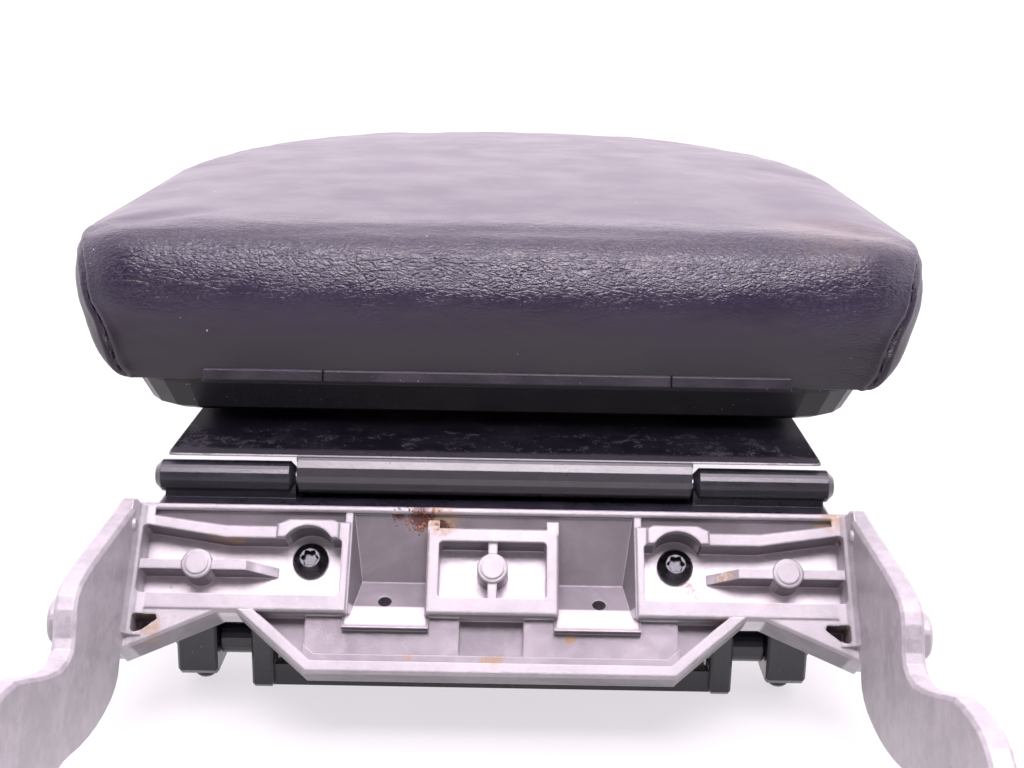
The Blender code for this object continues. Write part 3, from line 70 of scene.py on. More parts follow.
# Room: strength of the sky in front and behind, and one tint for all of it
SKY_FRONT = 0.26
SKY_REAR = 2.35
ROOM_TINT = (1.0, 0.885, 0.985, 1.0)
LAMPS_AIM = (0.0, 0.06, 0.02)
LAMPS = (
    # name, place, width and height in metres, watts, colour
    ("front_window", (0.02, -0.55, 1.10), 0.9, 0.42, 17.0, (1.0, 0.90, 0.99)),
    ("ceiling_lamp", (0.0, -0.10, 1.25), 0.9, 0.55, 7.0, (1.0, 0.89, 0.99)),
    ("fill_left", (-1.0, -0.2, 0.7), 0.8, 0.8, 1.6, (0.97, 0.90, 1.0)),
    ("fill_right", (1.0, -0.1, 0.7), 0.8, 0.8, 3.0, (0.90, 0.86, 1.0)),
)
FLOOR_SIZE = 14.0
FLOOR_AT_Y = 3.0
FLOOR_GLOW = 0.70

# Hinge axis, and the top edge and tilt of the bracket's web
HINGE_Y = 48.5 * MM
HINGE_Z = 18.3 * MM
WEB_TILT = math.radians(40.0)
WEB_TOP_Y = HINGE_Y - 11.5 * MM
WEB_TOP_Z = HINGE_Z - 3.2 * MM

# Pad, from the hinge axis as in the solid model
PAD_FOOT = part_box("leather_cover")[0].z
PAD_HEIGHT = 39.1 * MM
PAD_HALF = 117.3 * MM
PAD_HALF_FOOT = 102.0 * MM
PAD_WIDEST = 0.62
PAD_BULGE = 0.74
PAD_BELLY = 3.0 * MM
PAD_FRONT_FULL = 0.9
PAD_RING_EASE = 1.5
PAD_REAR = HINGE_Y + 22.5 * MM
PAD_LEAN = 8.0 * MM
PAD_LEAN_EASE = 5.0
PAD_SIDE_ROUND = 2.8 * MM
PAD_LENGTH = 310.0 * MM
PAD_STRAIGHT = 150.0 * MM
PAD_EDGE_R = 5.2 * MM
PAD_CROWN = 2.2 * MM
CORNER_FOOT_R = 4.0 * MM
CORNER_R = 20.0 * MM
HEM_IN = 8.4 * MM
SEAM_LEVELS = (0.0, 0.15, 0.30, 0.50, 0.70, 0.82, 0.90)
SEAM_ANGLES = (4.0, 14.0, 29.0, 41.0, 46.0, 58.0, 88.0)
SEAM_START = 0.02
SEAM_UP_STEPS = 60
SEAM_ALONG_STEPS = 200
CORNER_STEPS = 12
FRONT_STEPS = 120
AROUND = 220
WALL_RINGS = 10
EDGE_RINGS = 7
ACROSS = 24
SWELL_CAP = 0.9 * MM
SWELL_FRAMES = 20
SWELL_SHRINK = 1.6
HELD_HEIGHT = 3.0 * MM
HELD_NEAR_SEAM = 2.4 * MM
FINE_NEAR_SEAM = 3.6 * MM
FINEST_NEAR_SEAM = 2.6 * MM
CREASED_END = 0.098
CREASED_BAND = (0.046, 0.079)
GROOVE_DEPTH = 1.1
GROOVE_HALF = 0.7
LIP_HEIGHT = 0.40
LIP_AT = 1.9
LIP_HALF = 1.1

# Thread
STITCH_EVERY = 4
STITCH_STEP = 0.9 * MM
STITCH_SIZE = (1.35 * MM, 0.24 * MM, 0.24 * MM)

# Worn patch on the leather, and stains and rust on the casting: place and radius in metres
WORN_PATCH = ((0.092, 0.096, 0.0765), 0.026)
STAINS = (
    ((-0.0682, 0.0324, 0.0050), 0.0075),
    ((-0.0640, 0.0330, 0.0056), 0.006),
    ((-0.0826, 0.0193, -0.0107), 0.008),
    ((-0.0166, 0.0281, -0.0002), 0.006),
    ((-0.0055, 0.0287, 0.0005), 0.006),
    ((0.0068, 0.0288, 0.0007), 0.005),
    ((0.0004, 0.0147, -0.0161), 0.0065),
    ((-0.0200, 0.0150, -0.0160), 0.004),
    ((0.0211, 0.0285, 0.0003), 0.008),
    ((0.0498, 0.0272, -0.0012), 0.010),
    ((0.0560, 0.0290, 0.0020), 0.007),
    ((0.0844, 0.0384, 0.0121), 0.009),
    ((0.0680, 0.0250, -0.0039), 0.007),
    ((0.0888, 0.0209, -0.0087), 0.008),
    ((0.0191, 0.0186, -0.0116), 0.003),
    ((0.0560, 0.0215, -0.0070), 0.004),
    ((-0.0130, 0.0370, 0.0110), 0.010),
)
RUST_SPOTS = (
    ((-0.0180, 0.0384, 0.0122), 0.0085),
    ((-0.0235, 0.0385, 0.0124), 0.005),
    ((-0.0133, 0.0362, 0.0095), 0.0055),
    ((0.0877, 0.0353, 0.0083), 0.0045),
    ((0.0905, 0.0205, -0.0092), 0.0025),
    ((-0.0185, 0.0290, 0.0006), 0.0022),
)

# Parts of the casting: along the web from its top edge, across it from the middle, and above it
INSIDE_ARMS = (0.0856, 0.0872)
CENTRE_FRAME = (0.0156, 0.0162)
OUTER_FRAMES = (0.0352, 0.0358)
LEDGE_TOP = (0.0243, 0.0249)
LEDGE_END = (0.0298, 0.0304)
RIBS_START = (0.0050, 0.0056)
RIBS_END = (0.0272, 0.0276)
UNDERSIDE_SHADE_END = (0.0235, 0.0245)
SUNK_FROM = (-0.0014, -0.0008)
FLOORS_FROM = (-0.0034, -0.0014)

# Where the leather's creases and its dark creased corner fade (both darkened with painted crease shade), and
# where the plate's barrel ends
LEATHER_REAR = (0.090, 0.112)
LEATHER_HIGH = (0.053, 0.066)
LEATHER_CORNER = (0.078, 0.096)
BARREL_END = (0.0505, 0.0535)


# Shaders


class Val:
    """A number that changes over a surface. Sums and products of these add Math nodes."""

    def __init__(self, finish, socket):
        self.finish = finish
        self.socket = socket

    def calc(self, operation, *values):
        node = self.finish.node("ShaderNodeMath", {"operation": operation}, dict(enumerate(values)))
        return Val(self.finish, node.outputs[0])

    def __add__(self, other):
        return self.calc("ADD", self, other)

    def __sub__(self, other):
        return self.calc("SUBTRACT", self, other)

    def __rsub__(self, other):
        return self.calc("SUBTRACT", other, self)

    def __mul__(self, other):
        return self.calc("MULTIPLY", self, other)

    def __abs__(self):
        return self.calc("ABSOLUTE", self)

    def low(self, other):
        return self.calc("MINIMUM", self, other)

    def high(self, other):
        return self.calc("MAXIMUM", self, other)


class Finish:
    """One material and the nodes that vary it over the surface."""

    def __init__(self, name, color, roughness, metallic=0.0, **constants):
        self.material = bpy.data.materials.new(name)
        self.material.use_nodes = True
        self.tree = self.material.node_tree
        self.shader = self.tree.nodes["Principled BSDF"]
        self.shader.inputs["Base Color"].default_value = (*color, 1.0)
        self.shader.inputs["Roughness"].default_value = roughness
        self.shader.inputs["Metallic"].default_value = metallic
        for key, value in constants.items():
            self.shader.inputs[key.replace("_", " ")].default_value = value
        place = self.node("ShaderNodeTexCoord")
        self.place = place.outputs["Object"]
        split = self.node("ShaderNodeSeparateXYZ", {}, {0: self.place})
        self.x, self.y, self.z = (Val(self, out) for out in split.outputs)

    def node(self, kind, settings=None, values=None):
        made = self.tree.nodes.new(kind)
        for key, value in (settings or {}).items():
            setattr(made, key, value)
        for key, value in (values or {}).items():
            socket = made.inputs[key]
            if isinstance(value, Val):
                self.tree.links.new(value.socket, socket)
            elif isinstance(value, bpy.types.NodeSocket):
                self.tree.links.new(value, socket)
            elif isinstance(value, tuple) and len(value) == 3 and socket.type == "RGBA":
                socket.default_value = (*value, 1.0)
            else:
                socket.default_value = value
        return made

    def stretch(self, scale, turn=(0.0, 0.0, 0.0)):
        values = {0: self.place, 2: turn, 3: scale}
        return self.node("ShaderNodeMapping", {"vector_type": "POINT"}, values).outputs[0]

    def cloud(self, scale, detail=3.0, rough=0.55, warp=0.0, at=None):
        values = {
            "Vector": at or self.place,
            "Scale": scale,
            "Detail": detail,
            "Roughness": rough,
            "Distortion": warp,
        }
        return Val(self, self.node("ShaderNodeTexNoise", {}, values).outputs[0])

    def cells(self, scale, feature="F1", at=None, spread=1.0):
        values = {"Vector": at or self.place, "Scale": scale, "Randomness": spread}
        made = self.node("ShaderNodeTexVoronoi", {"feature": feature}, values)
        return Val(self, made.outputs["Distance"])

    def warped(self, at, scale, amount):
        """The place pushed about by a slow noise, so that a pattern on it isn't regular."""
        drift = self.node("ShaderNodeTexNoise", {}, {"Vector": at, "Scale": scale, "Detail": 2.0})
        values = {0: drift.outputs["Color"], 1: (amount,) * 3, 2: at}
        return self.node("ShaderNodeVectorMath", {"operation": "MULTIPLY_ADD"}, values).outputs[0]

    def rise(self, value, low, high, to_low=0.0, to_high=1.0):
        """Smooth step of a value between low and high."""
        values = {0: value, 1: low, 2: high, 3: to_low, 4: to_high}
        made = self.node("ShaderNodeMapRange", {"interpolation_type": "SMOOTHSTEP"}, values)
        return Val(self, made.outputs[0])

    def near(self, point, radius, soft=0.5):
        """1 inside a ball round a point, falling to 0 at its edge."""
        away = self.node("ShaderNodeVectorMath", {"operation": "DISTANCE"}, {0: self.place, 1: point})
        return 1.0 - self.rise(Val(self, away.outputs["Value"]), radius * (1.0 - soft), radius)

    def blend(self, low, high, factor):
        values = {0: factor, 6: low, 7: high}
        settings = {"data_type": "RGBA", "clamp_factor": True}
        return self.node("ShaderNodeMix", settings, values).outputs[2]

    def color(self, socket):
        self.tree.links.new(socket, self.shader.inputs["Base Color"])

    def set(self, name, value):
        self.tree.links.new(value.socket, self.shader.inputs[name])

    def relief(self, height, depth, under=None):
        """Bump of a height in metres."""
        values = {"Strength": 1.0, "Distance": depth, "Height": height}
        if under is not None:
            values["Normal"] = under
        return self.node("ShaderNodeBump", {}, values).outputs[0]

    def soft_edges(self, radius):
        return self.node("ShaderNodeBevel", {"samples": 6}, {"Radius": radius}).outputs[0]

    def worn_and_highlit_edges(self, soft, low=0.02, high=0.25):
        """1 on rounded edges, from how far the softened normal leans off the face's own."""
        true = self.node("ShaderNodeNewGeometry").outputs["Normal"]
        dot = self.node("ShaderNodeVectorMath", {"operation": "DOT_PRODUCT"}, {0: soft, 1: true})
        return self.rise(1.0 - Val(self, dot.outputs["Value"]), low, high)

    def normal(self, socket):
        self.tree.links.new(socket, self.shader.inputs["Normal"])


def leather_finish():
    f = Finish("dark_leather", (0.020, 0.013, 0.029), 0.36, Specular_IOR_Level=0.62)
    rear = 1.0 - f.rise(f.y, *LEATHER_REAR)
    high = f.rise(f.z + (f.cloud(75.0, 2.0) - 0.5) * 0.014, *LEATHER_HIGH)
    crumple = rear * high
    corner = rear * (1.0 - high) * f.rise(f.x, *LEATHER_CORNER)
    rows = f.stretch((1.0, 1.7, 1.7), (0.12, 0.0, 0.0))
    loose = f.warped(rows, 260.0, 0.0022)
    fine = f.rise(f.cells(560.0, "DISTANCE_TO_EDGE", loose), 0.0, 0.34)
    long_rows = f.stretch((1.0, 2.5, 2.5), (0.0, 0.10, 0.0))
    wander = f.warped(long_rows, 120.0, 0.0075)
    folds = f.rise(f.cells(175.0, "DISTANCE_TO_EDGE", wander), 0.0, 0.13)
    patchy = f.rise(f.cloud(70.0, 3.0, 0.6), 0.38, 0.58)
    lines = f.cloud(330.0, 3.0, 0.6, 0.6, wander)
    ridges = (1.0 - abs(lines - 0.5) * 9.0).high(0.0)
    pebble = f.cells(1000.0, "SMOOTH_F1")
    pores = f.cloud(2300.0, 2.0, 0.6)
    worn = f.cloud(38.0, 3.0, 0.6)
    broad = f.cloud(160.0, 3.0, 0.6)
    creased = crumple.high(corner * 0.4)
    height = pebble * 0.16 + pores * 0.06 + broad * 0.35
    height = height + creased * (fine * 0.42 + folds * patchy * 0.55 + ridges * 0.30)
    f.normal(f.relief(height, 0.00014))
    tone = f.blend((0.016, 0.008, 0.024), (0.024, 0.014, 0.036), f.rise(worn, 0.35, 0.65))
    tone = f.blend(tone, (0.022, 0.013, 0.050), crumple * 0.7)
    # painted shade: the crease lines of the creased zones and the creased corner are darkened, as if shaded
    # in their grooves
    tone = f.blend(tone, (0.004, 0.002, 0.008), creased * (1.0 - fine) * 0.8)
    # painted shade: the rear face is darker towards its foot, near the shell
    tone = f.blend(tone, (0.005, 0.003, 0.008), (1.0 - f.rise(f.z, 0.043, 0.062)) * rear * 0.9)
    scuff = f.rise(f.cloud(420.0, 5.0, 0.7), 0.22, 0.72)
    patch = f.near(*WORN_PATCH, 0.9) * scuff
    tone = f.blend(tone, (0.15, 0.118, 0.110), patch.low(0.6))
    specks = f.cells(160.0, "F1")
    fleck = f.rise(specks, 0.050, 0.030) * f.rise(f.cloud(60.0, 1.0), 0.53, 0.60)
    tone = f.blend(tone, (0.45, 0.43, 0.46), fleck * 0.8)
    f.color(tone)
    f.set("Roughness", f.rise(worn, 0.3, 0.7, 0.35, 0.42) - crumple * 0.05 + patch * 0.1)
    return f.material


def casting_finish():
    """Cast alloy: pocket floor and ledge tone painted paler than the raised faces as painted light, a duller
    skin in the windows, painted shade on down-facing walls, edges lightened as wear and painted highlight,
    stains and rust.
    """
    f = Finish("cast_alloy_finish", (0.56, 0.53, 0.555), 0.48, 0.5)
    soft = f.soft_edges(0.0006)
    edge = f.worn_and_highlit_edges(soft)
    down = (WEB_TOP_Y - f.y) * math.sin(WEB_TILT) + (WEB_TOP_Z - f.z) * math.cos(WEB_TILT)
    out = (WEB_TOP_Y - f.y) * math.cos(WEB_TILT) - (WEB_TOP_Z - f.z) * math.sin(WEB_TILT)
    wide = abs(f.x)
    inside = 1.0 - f.rise(wide, *INSIDE_ARMS)
    bays = f.rise(wide, *CENTRE_FRAME) * (1.0 - f.rise(wide, *OUTER_FRAMES))
    windows = bays * (1.0 - f.rise(down, *LEDGE_END))
    bands = f.rise(down, *RIBS_END).high(1.0 - f.rise(down, *RIBS_START))
    sunk = 1.0 - f.rise(out, *SUNK_FROM)
    skin = windows.high(bands) * sunk * inside
    flow = f.cloud(55.0, 4.0, 0.6, 0.5)
    mottle = f.cloud(330.0, 4.0, 0.62)
    grain = f.cloud(2600.0, 3.0, 0.6)
    vary = f.rise(flow * 0.5 + mottle * 0.5, 0.38, 0.62)
    # painted light: the pocket floor tone is about twice as pale as the raised faces, to make up for the
    # shade the pocket walls cast
    deep = 1.0 - f.rise(out, *FLOORS_FROM)
    faces = f.blend((0.28, 0.264, 0.278), (0.35, 0.330, 0.347), vary)
    floors_painted_light = f.blend((0.54, 0.510, 0.532), (0.66, 0.623, 0.648), vary)
    tone = f.blend(faces, floors_painted_light, deep)
    dull = f.blend((0.185, 0.168, 0.185), (0.24, 0.219, 0.238), f.rise(flow, 0.35, 0.65))
    # painted light: the ledge tops in the windows are painted pale like the pocket floor tone, for their
    # up-facing slope
    ledges_painted_light = bays * f.rise(down, *LEDGE_TOP) * (1.0 - f.rise(down, *LEDGE_END))
    dull = f.blend(dull, (0.58, 0.540, 0.575), ledges_painted_light)
    tone = f.blend(tone, dull, skin)
    # painted shade: sunk walls that face down the web are darkened, as if shaded
    facing = f.node("ShaderNodeNewGeometry").outputs["True Normal"]
    slope = (0.0, -math.sin(WEB_TILT), -math.cos(WEB_TILT))
    under = f.node("ShaderNodeVectorMath", {"operation": "DOT_PRODUCT"}, {0: facing, 1: slope})
    under = f.rise(Val(f, under.outputs["Value"]), 0.5, 0.85) * sunk * inside
    under = under * (1.0 - f.rise(down, *UNDERSIDE_SHADE_END))
    tone = f.blend(tone, (0.13, 0.115, 0.14), under * 0.9)
    arms = f.blend((0.36, 0.340, 0.360), (0.46, 0.434, 0.458), vary)
    tone = f.blend(tone, arms, 1.0 - inside)
    # edges painted near white: partly rubbed edges, partly a painted highlight along them
    tone = f.blend(tone, (0.80, 0.765, 0.79), edge * 0.6)
    blotch = f.cloud(230.0, 5.0, 0.72, 0.6)
    speck = f.cloud(1000.0, 4.0, 0.7)
    drops = f.rise(f.cells(300.0, "F1"), 0.16, 0.08) * f.rise(f.cloud(120.0, 2.0), 0.50, 0.58)
    tone = f.blend(tone, (0.30, 0.28, 0.31), drops * (1.0 - skin) * inside * 0.5)
    spread = None
    for place, radius in STAINS:
        ball = f.near(place, radius, 0.9)
        spread = ball if spread is None else spread.high(ball)
    stain = f.rise(spread * 0.8 + blotch * 0.55, 0.62, 0.95) * f.rise(speck, 0.34, 0.58)
    tone = f.blend(tone, (0.34, 0.215, 0.10), stain * 0.75)
    loose = f.warped(f.place, 500.0, 0.0030)
    crumbs = 1.0 - f.rise(f.cells(900.0, "F1", loose), 0.10, 0.55)
    rusty = f.near(*RUST_SPOTS[0], 0.85)
    for place, radius in RUST_SPOTS[1:]:
        rusty = rusty.high(f.near(place, radius, 0.85))
    rust = f.rise(rusty * 0.75 + crumbs * 0.35 + speck * 0.25, 0.62, 0.84)
    ruddy = f.blend((0.085, 0.030, 0.028), (0.30, 0.14, 0.085), f.rise(crumbs * 0.5 + speck * 0.5, 0.3, 0.6))
    tone = f.blend(tone, ruddy, rust)
    f.color(tone)
    f.set("Metallic", 0.5 - (rust * 0.5).high(stain * 0.4))
    f.set("Roughness", f.rise(mottle, 0.3, 0.7, 0.46, 0.56) + rust * 0.3 + stain * 0.12 - edge * 0.10)
    height = grain * 0.5 + mottle * 0.5 + rust * crumbs * 3.5
    f.normal(f.relief(height, 0.00010, soft))
    return f.material


def moulding_finish(name, color, roughness, grain=1900.0, depth=0.00006, **constants):
    """Black moulded plastic with a fine spark grain, scuffed edges and dust."""
    f = Finish(name, color, roughness, 0.0, **constants)
    soft = f.soft_edges(0.0004)
    edge = f.worn_and_highlit_edges(soft)
    texture = f.cloud(grain, 3.0, 0.6)
    haze = f.cloud(90.0, 4.0, 0.65)
    light = tuple(min(1.0, c * 1.8 + 0.004) for c in color)
    tone = f.blend(color, light, f.rise(haze, 0.42, 0.72) * 0.6 + edge * 0.5)
    dust = f.rise(f.cells(420.0, "F1"), 0.10, 0.05) * f.rise(f.cloud(75.0, 2.0), 0.50, 0.62)
    tone = f.blend(tone, (0.34, 0.32, 0.36), dust * 0.6)
    f.color(tone)
    f.set("Roughness", f.rise(haze, 0.3, 0.7, roughness - 0.06, roughness + 0.08) + dust * 0.3)
    f.normal(f.relief(texture, depth, soft))
    return f.material


def plate_finish():
    """Glossy black slide plate: a satin barrel under a clear coat, dust, scratches, and a painted highlight
    along the rear edge above the outer knuckles.
    """
    f = Finish("slide_plate_black", (0.004, 0.0035, 0.007), 0.2)
    soft = f.soft_edges(0.0004)
    barrel = 1.0 - f.rise(f.y, *BARREL_END)
    haze = f.cloud(60.0, 4.0, 0.65)
    fine = f.cloud(1300.0, 3.0, 0.65)
    grain = f.cloud(420.0, 4.0, 0.7)
    long = f.stretch((1.0, 14.0, 1.0), (0.0, 0.0, 0.35))
    scratch = f.rise(abs(f.cloud(90.0, 2.0, 0.5, 0.0, long) - 0.5), 0.005, 0.0)
    scratch = scratch * f.rise(f.cloud(45.0, 2.0), 0.52, 0.62) * (1.0 - barrel)
    dust = f.rise(f.cells(520.0, "F1"), 0.12, 0.05) * f.rise(f.cloud(110.0, 3.0), 0.48, 0.60)
    smear = f.rise(f.cloud(140.0, 5.0, 0.75), 0.50, 0.66) * (1.0 - f.rise(f.y, 0.060, 0.078))
    smear = smear * f.rise(fine, 0.40, 0.56) * (1.0 - barrel)
    sides = f.rise(abs(f.x), 0.0500, 0.0508)
    # painted highlight: the plate's rear top edge beyond the middle barrel
    rear_edge_highlight = sides * (1.0 - f.rise(f.y, 0.0474, 0.0480)) * f.rise(f.z, 0.0225, 0.0235)
    highlight_breakup = f.rise(f.cloud(160.0, 4.0, 0.7), 0.36, 0.50)
    tone = f.blend((0.0038, 0.0032, 0.0065), (0.008, 0.007, 0.011), f.rise(haze, 0.4, 0.7))
    tone = f.blend(tone, (0.11, 0.105, 0.12), (dust * 0.7).high(scratch * 0.5).high(smear * 0.35))
    sheen = f.blend((0.018, 0.016, 0.022), (0.040, 0.037, 0.045), grain)
    tone = f.blend(tone, sheen, barrel)
    # painted highlight along the rear edge, broken up in patches by noise
    tone = f.blend(tone, (0.22, 0.20, 0.23), rear_edge_highlight * highlight_breakup * 0.7)
    f.color(tone)
    f.shader.inputs["Coat Roughness"].default_value = 0.28
    f.set("Coat Weight", barrel * 0.7)
    rough = f.rise(haze, 0.3, 0.7, 0.17, 0.26) + barrel * 0.09 + dust * 0.3 + smear * 0.2
    f.set("Roughness", rough)
    f.normal(f.relief(fine * 0.6 + grain * barrel, 0.00004, soft))
    return f.material


def steel_finish(name, color, roughness):
    f = Finish(name, color, roughness, 1.0)
    soft = f.soft_edges(0.0003)
    cloudy = f.cloud(500.0, 4.0, 0.6)
    dark = tuple(c * 0.6 for c in color)
    f.color(f.blend(dark, color, f.rise(cloudy, 0.35, 0.6)))
    f.set("Roughness", f.rise(cloudy, 0.3, 0.7, roughness - 0.06, roughness + 0.10))
    f.normal(f.relief(f.cloud(3000.0, 2.0), 0.00002, soft))
    return f.material


def foam_finish(name, color):
    f = Finish(name, color, 0.95)
    cell = f.cells(900.0, "F1")
    f.color(f.blend(tuple(c * 0.5 for c in color), color, f.rise(cell, 0.1, 0.6)))
    f.normal(f.relief(cell, 0.0003))
    return f.material


def floor_finish():
    """Pale floor that glows a little, as an evenly lit sweep does, so its shadows stay light."""
    f = Finish("pale_floor", (0.22, 0.22, 0.22), 0.7, Emission_Strength=FLOOR_GLOW)
    f.shader.inputs["Emission Color"].default_value = (1.0, 0.95, 1.0, 1.0)
    cloudy = f.cloud(6.0, 3.0)
    f.color(f.blend((0.20, 0.21, 0.20), (0.24, 0.25, 0.24), cloudy))
    return f.material


# Pad


def arc(cx, cy, r, start, end, count):
    turns = [start + (end - start) * i / count for i in range(count + 1)]
    return [(cx + r * math.cos(turn), cy + r * math.sin(turn)) for turn in turns]


def pad_outline(level, grow):
    """Plan of the pad at a height, level 0 at its foot and 1 at its top."""
    if level < PAD_WIDEST:
        bulge = math.sin(0.5 * math.pi * level / PAD_WIDEST) ** PAD_BULGE
        half = PAD_HALF_FOOT + (PAD_HALF - PAD_HALF_FOOT) * bulge
    else:
        half = PAD_HALF - PAD_SIDE_ROUND * ((level - PAD_WIDEST) / (1.0 - PAD_WIDEST)) ** 2
    taper = PAD_HALF - half
    rear = PAD_REAR + PAD_LEAN * level ** PAD_LEAN_EASE - grow
    front = PAD_REAR + PAD_LENGTH - 0.6 * taper + grow
    ease = min(1.0, level / 0.45)
    corner = CORNER_FOOT_R + (CORNER_R - CORNER_FOOT_R) * ease * ease * (3.0 - 2.0 * ease)
    corner = max(corner + grow, 2.0 * MM)
    half = half + grow
    middle = PAD_REAR + PAD_STRAIGHT
    line = arc(half - corner, rear + corner, corner, -0.5 * math.pi, 0.0, CORNER_STEPS)
    for i in range(FRONT_STEPS + 1):
        a = math.pi * i / FRONT_STEPS
        side = math.copysign(abs(math.cos(a)) ** PAD_FRONT_FULL, math.cos(a))
        ahead = max(0.0, math.sin(a)) ** PAD_FRONT_FULL
        line.append(((half + PAD_BELLY) * side, middle + (front - middle) * ahead))
    line += arc(-half + corner, rear + corner, corner, math.pi, 1.5 * math.pi, CORNER_STEPS)
    return line


def even(line, count):
    """The closed line again as evenly spaced points, the first at the middle of the rear edge."""
    pts = np.array(line + [line[0]])
    start = np.array([0.0, pts[0][1]])
    pts = np.vstack([start, pts[:-1], start])
    run = np.concatenate([[0.0], np.cumsum(np.linalg.norm(np.diff(pts, axis=0), axis=1))])
    at = np.linspace(0.0, run[-1], count, endpoint=False)
    return np.column_stack([np.interp(at, run, pts[:, 0]), np.interp(at, run, pts[:, 1])])


def pad_rings():
    """Rings of points from inside the hem, over the foot and up to the crown."""
    rings = []

    def ring(level, grow, z):
        flat = even(pad_outline(level, grow), AROUND)
        rings.append(np.column_stack([flat, np.full(AROUND, z)]))

    inner = 1.5 * MM
    ring(0.0, -2.2 * MM, PAD_FOOT + 4.7 * MM)
    ring(0.0, -2.2 * MM, PAD_FOOT + inner)
    ring(0.0, -HEM_IN, PAD_FOOT + inner)
    ring(0.0, -HEM_IN, PAD_FOOT)
    ring(0.0, -3.0 * MM, PAD_FOOT)
    ring(0.0, -0.4 * MM, PAD_FOOT)
    ring(0.0, 0.0, PAD_FOOT + 0.4 * MM)
    top_of_wall = 1.0 - PAD_EDGE_R / PAD_HEIGHT
    for i in range(1, WALL_RINGS + 1):
        level = top_of_wall * (i / WALL_RINGS) ** PAD_RING_EASE
        ring(level, 0.0, PAD_FOOT + max(level * PAD_HEIGHT, (0.4 + 0.5 * i) * MM))
    for i in range(1, EDGE_RINGS + 1):
        a = 0.5 * math.pi * i / EDGE_RINGS
        level = 1.0 - PAD_EDGE_R / PAD_HEIGHT * (1.0 - math.sin(a))
        ring(level, -PAD_EDGE_R * (1.0 - math.cos(a)), PAD_FOOT + level * PAD_HEIGHT)
    return rings


def eased(share):
    return share * share * (3.0 - 2.0 * share)


def patch(bm, row, crown):
    """Fills a closed row of vertices with an even grid that rises to a crown in the middle."""
    wide = 2 * ACROSS
    deep = AROUND // 2 - wide
    rear = [row[(i - ACROSS) % AROUND] for i in range(wide + 1)]
    front = [row[AROUND // 2 + ACROSS - i] for i in range(wide + 1)]
    right = [row[ACROSS + i] for i in range(deep + 1)]
    left = [row[(AROUND - ACROSS - i) % AROUND] for i in range(deep + 1)]
    grid = [rear]
    for j in range(1, deep):
        v = j / deep
        line = [left[j]]
        for i in range(1, wide):
            u = i / wide
            across = rear[i].co * (1.0 - v) + front[i].co * v
            along = left[j].co * (1.0 - u) + right[j].co * u
            low = rear[0].co * (1.0 - u) + rear[-1].co * u
            high = front[0].co * (1.0 - u) + front[-1].co * u
            co = across + along - low * (1.0 - v) - high * v
            rise = eased(1.0 - (2.0 * u - 1.0) ** 2) * eased(1.0 - (2.0 * v - 1.0) ** 2)
            line.append(bm.verts.new(co + Vector((0.0, 0.0, crown * rise))))
        line.append(right[j])
        grid.append(line)
    grid.append(front)
    for low, high in zip(grid, grid[1:]):
        for i in range(wide):
            bm.faces.new((low[i], low[i + 1], high[i + 1], high[i]))


def pad_mesh():
    rings = pad_rings()
    bm = bmesh.new()
    rows = [[bm.verts.new(point) for point in ring] for ring in rings]
    for low, high in zip(rows, rows[1:]):
        for i in range(AROUND):
            j = (i + 1) % AROUND
            bm.faces.new((low[i], low[j], high[j], high[i]))
    patch(bm, rows[-1], PAD_CROWN)
    patch(bm, rows[0], 0.0)
    bmesh.ops.recalc_face_normals(bm, faces=bm.faces)
    mesh = bpy.data.meshes.new("leather_pad")
    bm.to_mesh(mesh)
    bm.free()
    pad = bpy.data.objects.new("leather_pad", mesh)
    bpy.context.scene.collection.objects.link(pad)
    return pad


def select_only(obj):
    bpy.ops.object.select_all(action="DESELECT")
    obj.select_set(True)
    bpy.context.view_layer.objects.active = obj


def seam_line(sign):
    """Seam of one side: up the rear corner from the hem, then forward along the side."""
    line = []
    top = SEAM_LEVELS[-1]
    for i in range(SEAM_UP_STEPS):
        level = SEAM_START + (top - SEAM_START) * i / (SEAM_UP_STEPS - 1)
        angle = math.radians(float(np.interp(level, SEAM_LEVELS, SEAM_ANGLES)))
        line.append((level, angle, 0.0))
    for i in range(1, SEAM_ALONG_STEPS):
        line.append((top, math.radians(SEAM_ANGLES[-1]), i / (SEAM_ALONG_STEPS - 1)))
    points = []
    for level, angle, along in line:
        outline = pad_outline(level, 0.0)
        cx = outline[0][0]
        r = outline[CORNER_STEPS][0] - cx
        cy = outline[CORNER_STEPS][1]
        if level > 1.0 - PAD_EDGE_R / PAD_HEIGHT:
            a = math.asin(1.0 - (1.0 - level) * PAD_HEIGHT / PAD_EDGE_R)
            shrink = PAD_EDGE_R * (1.0 - math.cos(a))
        else:
            shrink = 0.0
        z = PAD_FOOT + level * PAD_HEIGHT
        if along == 0.0:
            lean = angle - 0.5 * math.pi
            reach = r - shrink
            points.append(Vector((sign * (cx + reach * math.cos(lean)), cy + reach * math.sin(lean), z)))
        else:
            run = outline[CORNER_STEPS + 1 :]
            k = along * (len(run) - CORNER_STEPS - 2) * 0.5
            i = int(k)
            a = Vector(run[i])
            b = Vector(run[i + 1])
            p = a.lerp(b, k - i)
            out = Vector((b.y - a.y, a.x - b.x)).normalized() if (b - a).length > 0 else Vector((1, 0))
            if i == 0:
                start = Vector((cx + r, cy))
                p = start.lerp(p, k)
                out = Vector((1.0, 0.0))
            p = p - out * shrink
            points.append(Vector((sign * p.x, p.y, z)))
    return points


def dense(points, step):
    """Points every step along a polyline."""
    out = [points[0]]
    left = step
    for a, b in zip(points, points[1:]):
        gap = (b - a).length
        while gap >= left:
            a = a.lerp(b, left / gap)
            out.append(a.copy())
            gap = (b - a).length
            left = step
        left -= gap
    return out


def tree_of(points):
    tree = kdtree.KDTree(len(points))
    for i, point in enumerate(points):
        tree.insert(point, i)
    tree.balance()
    return tree


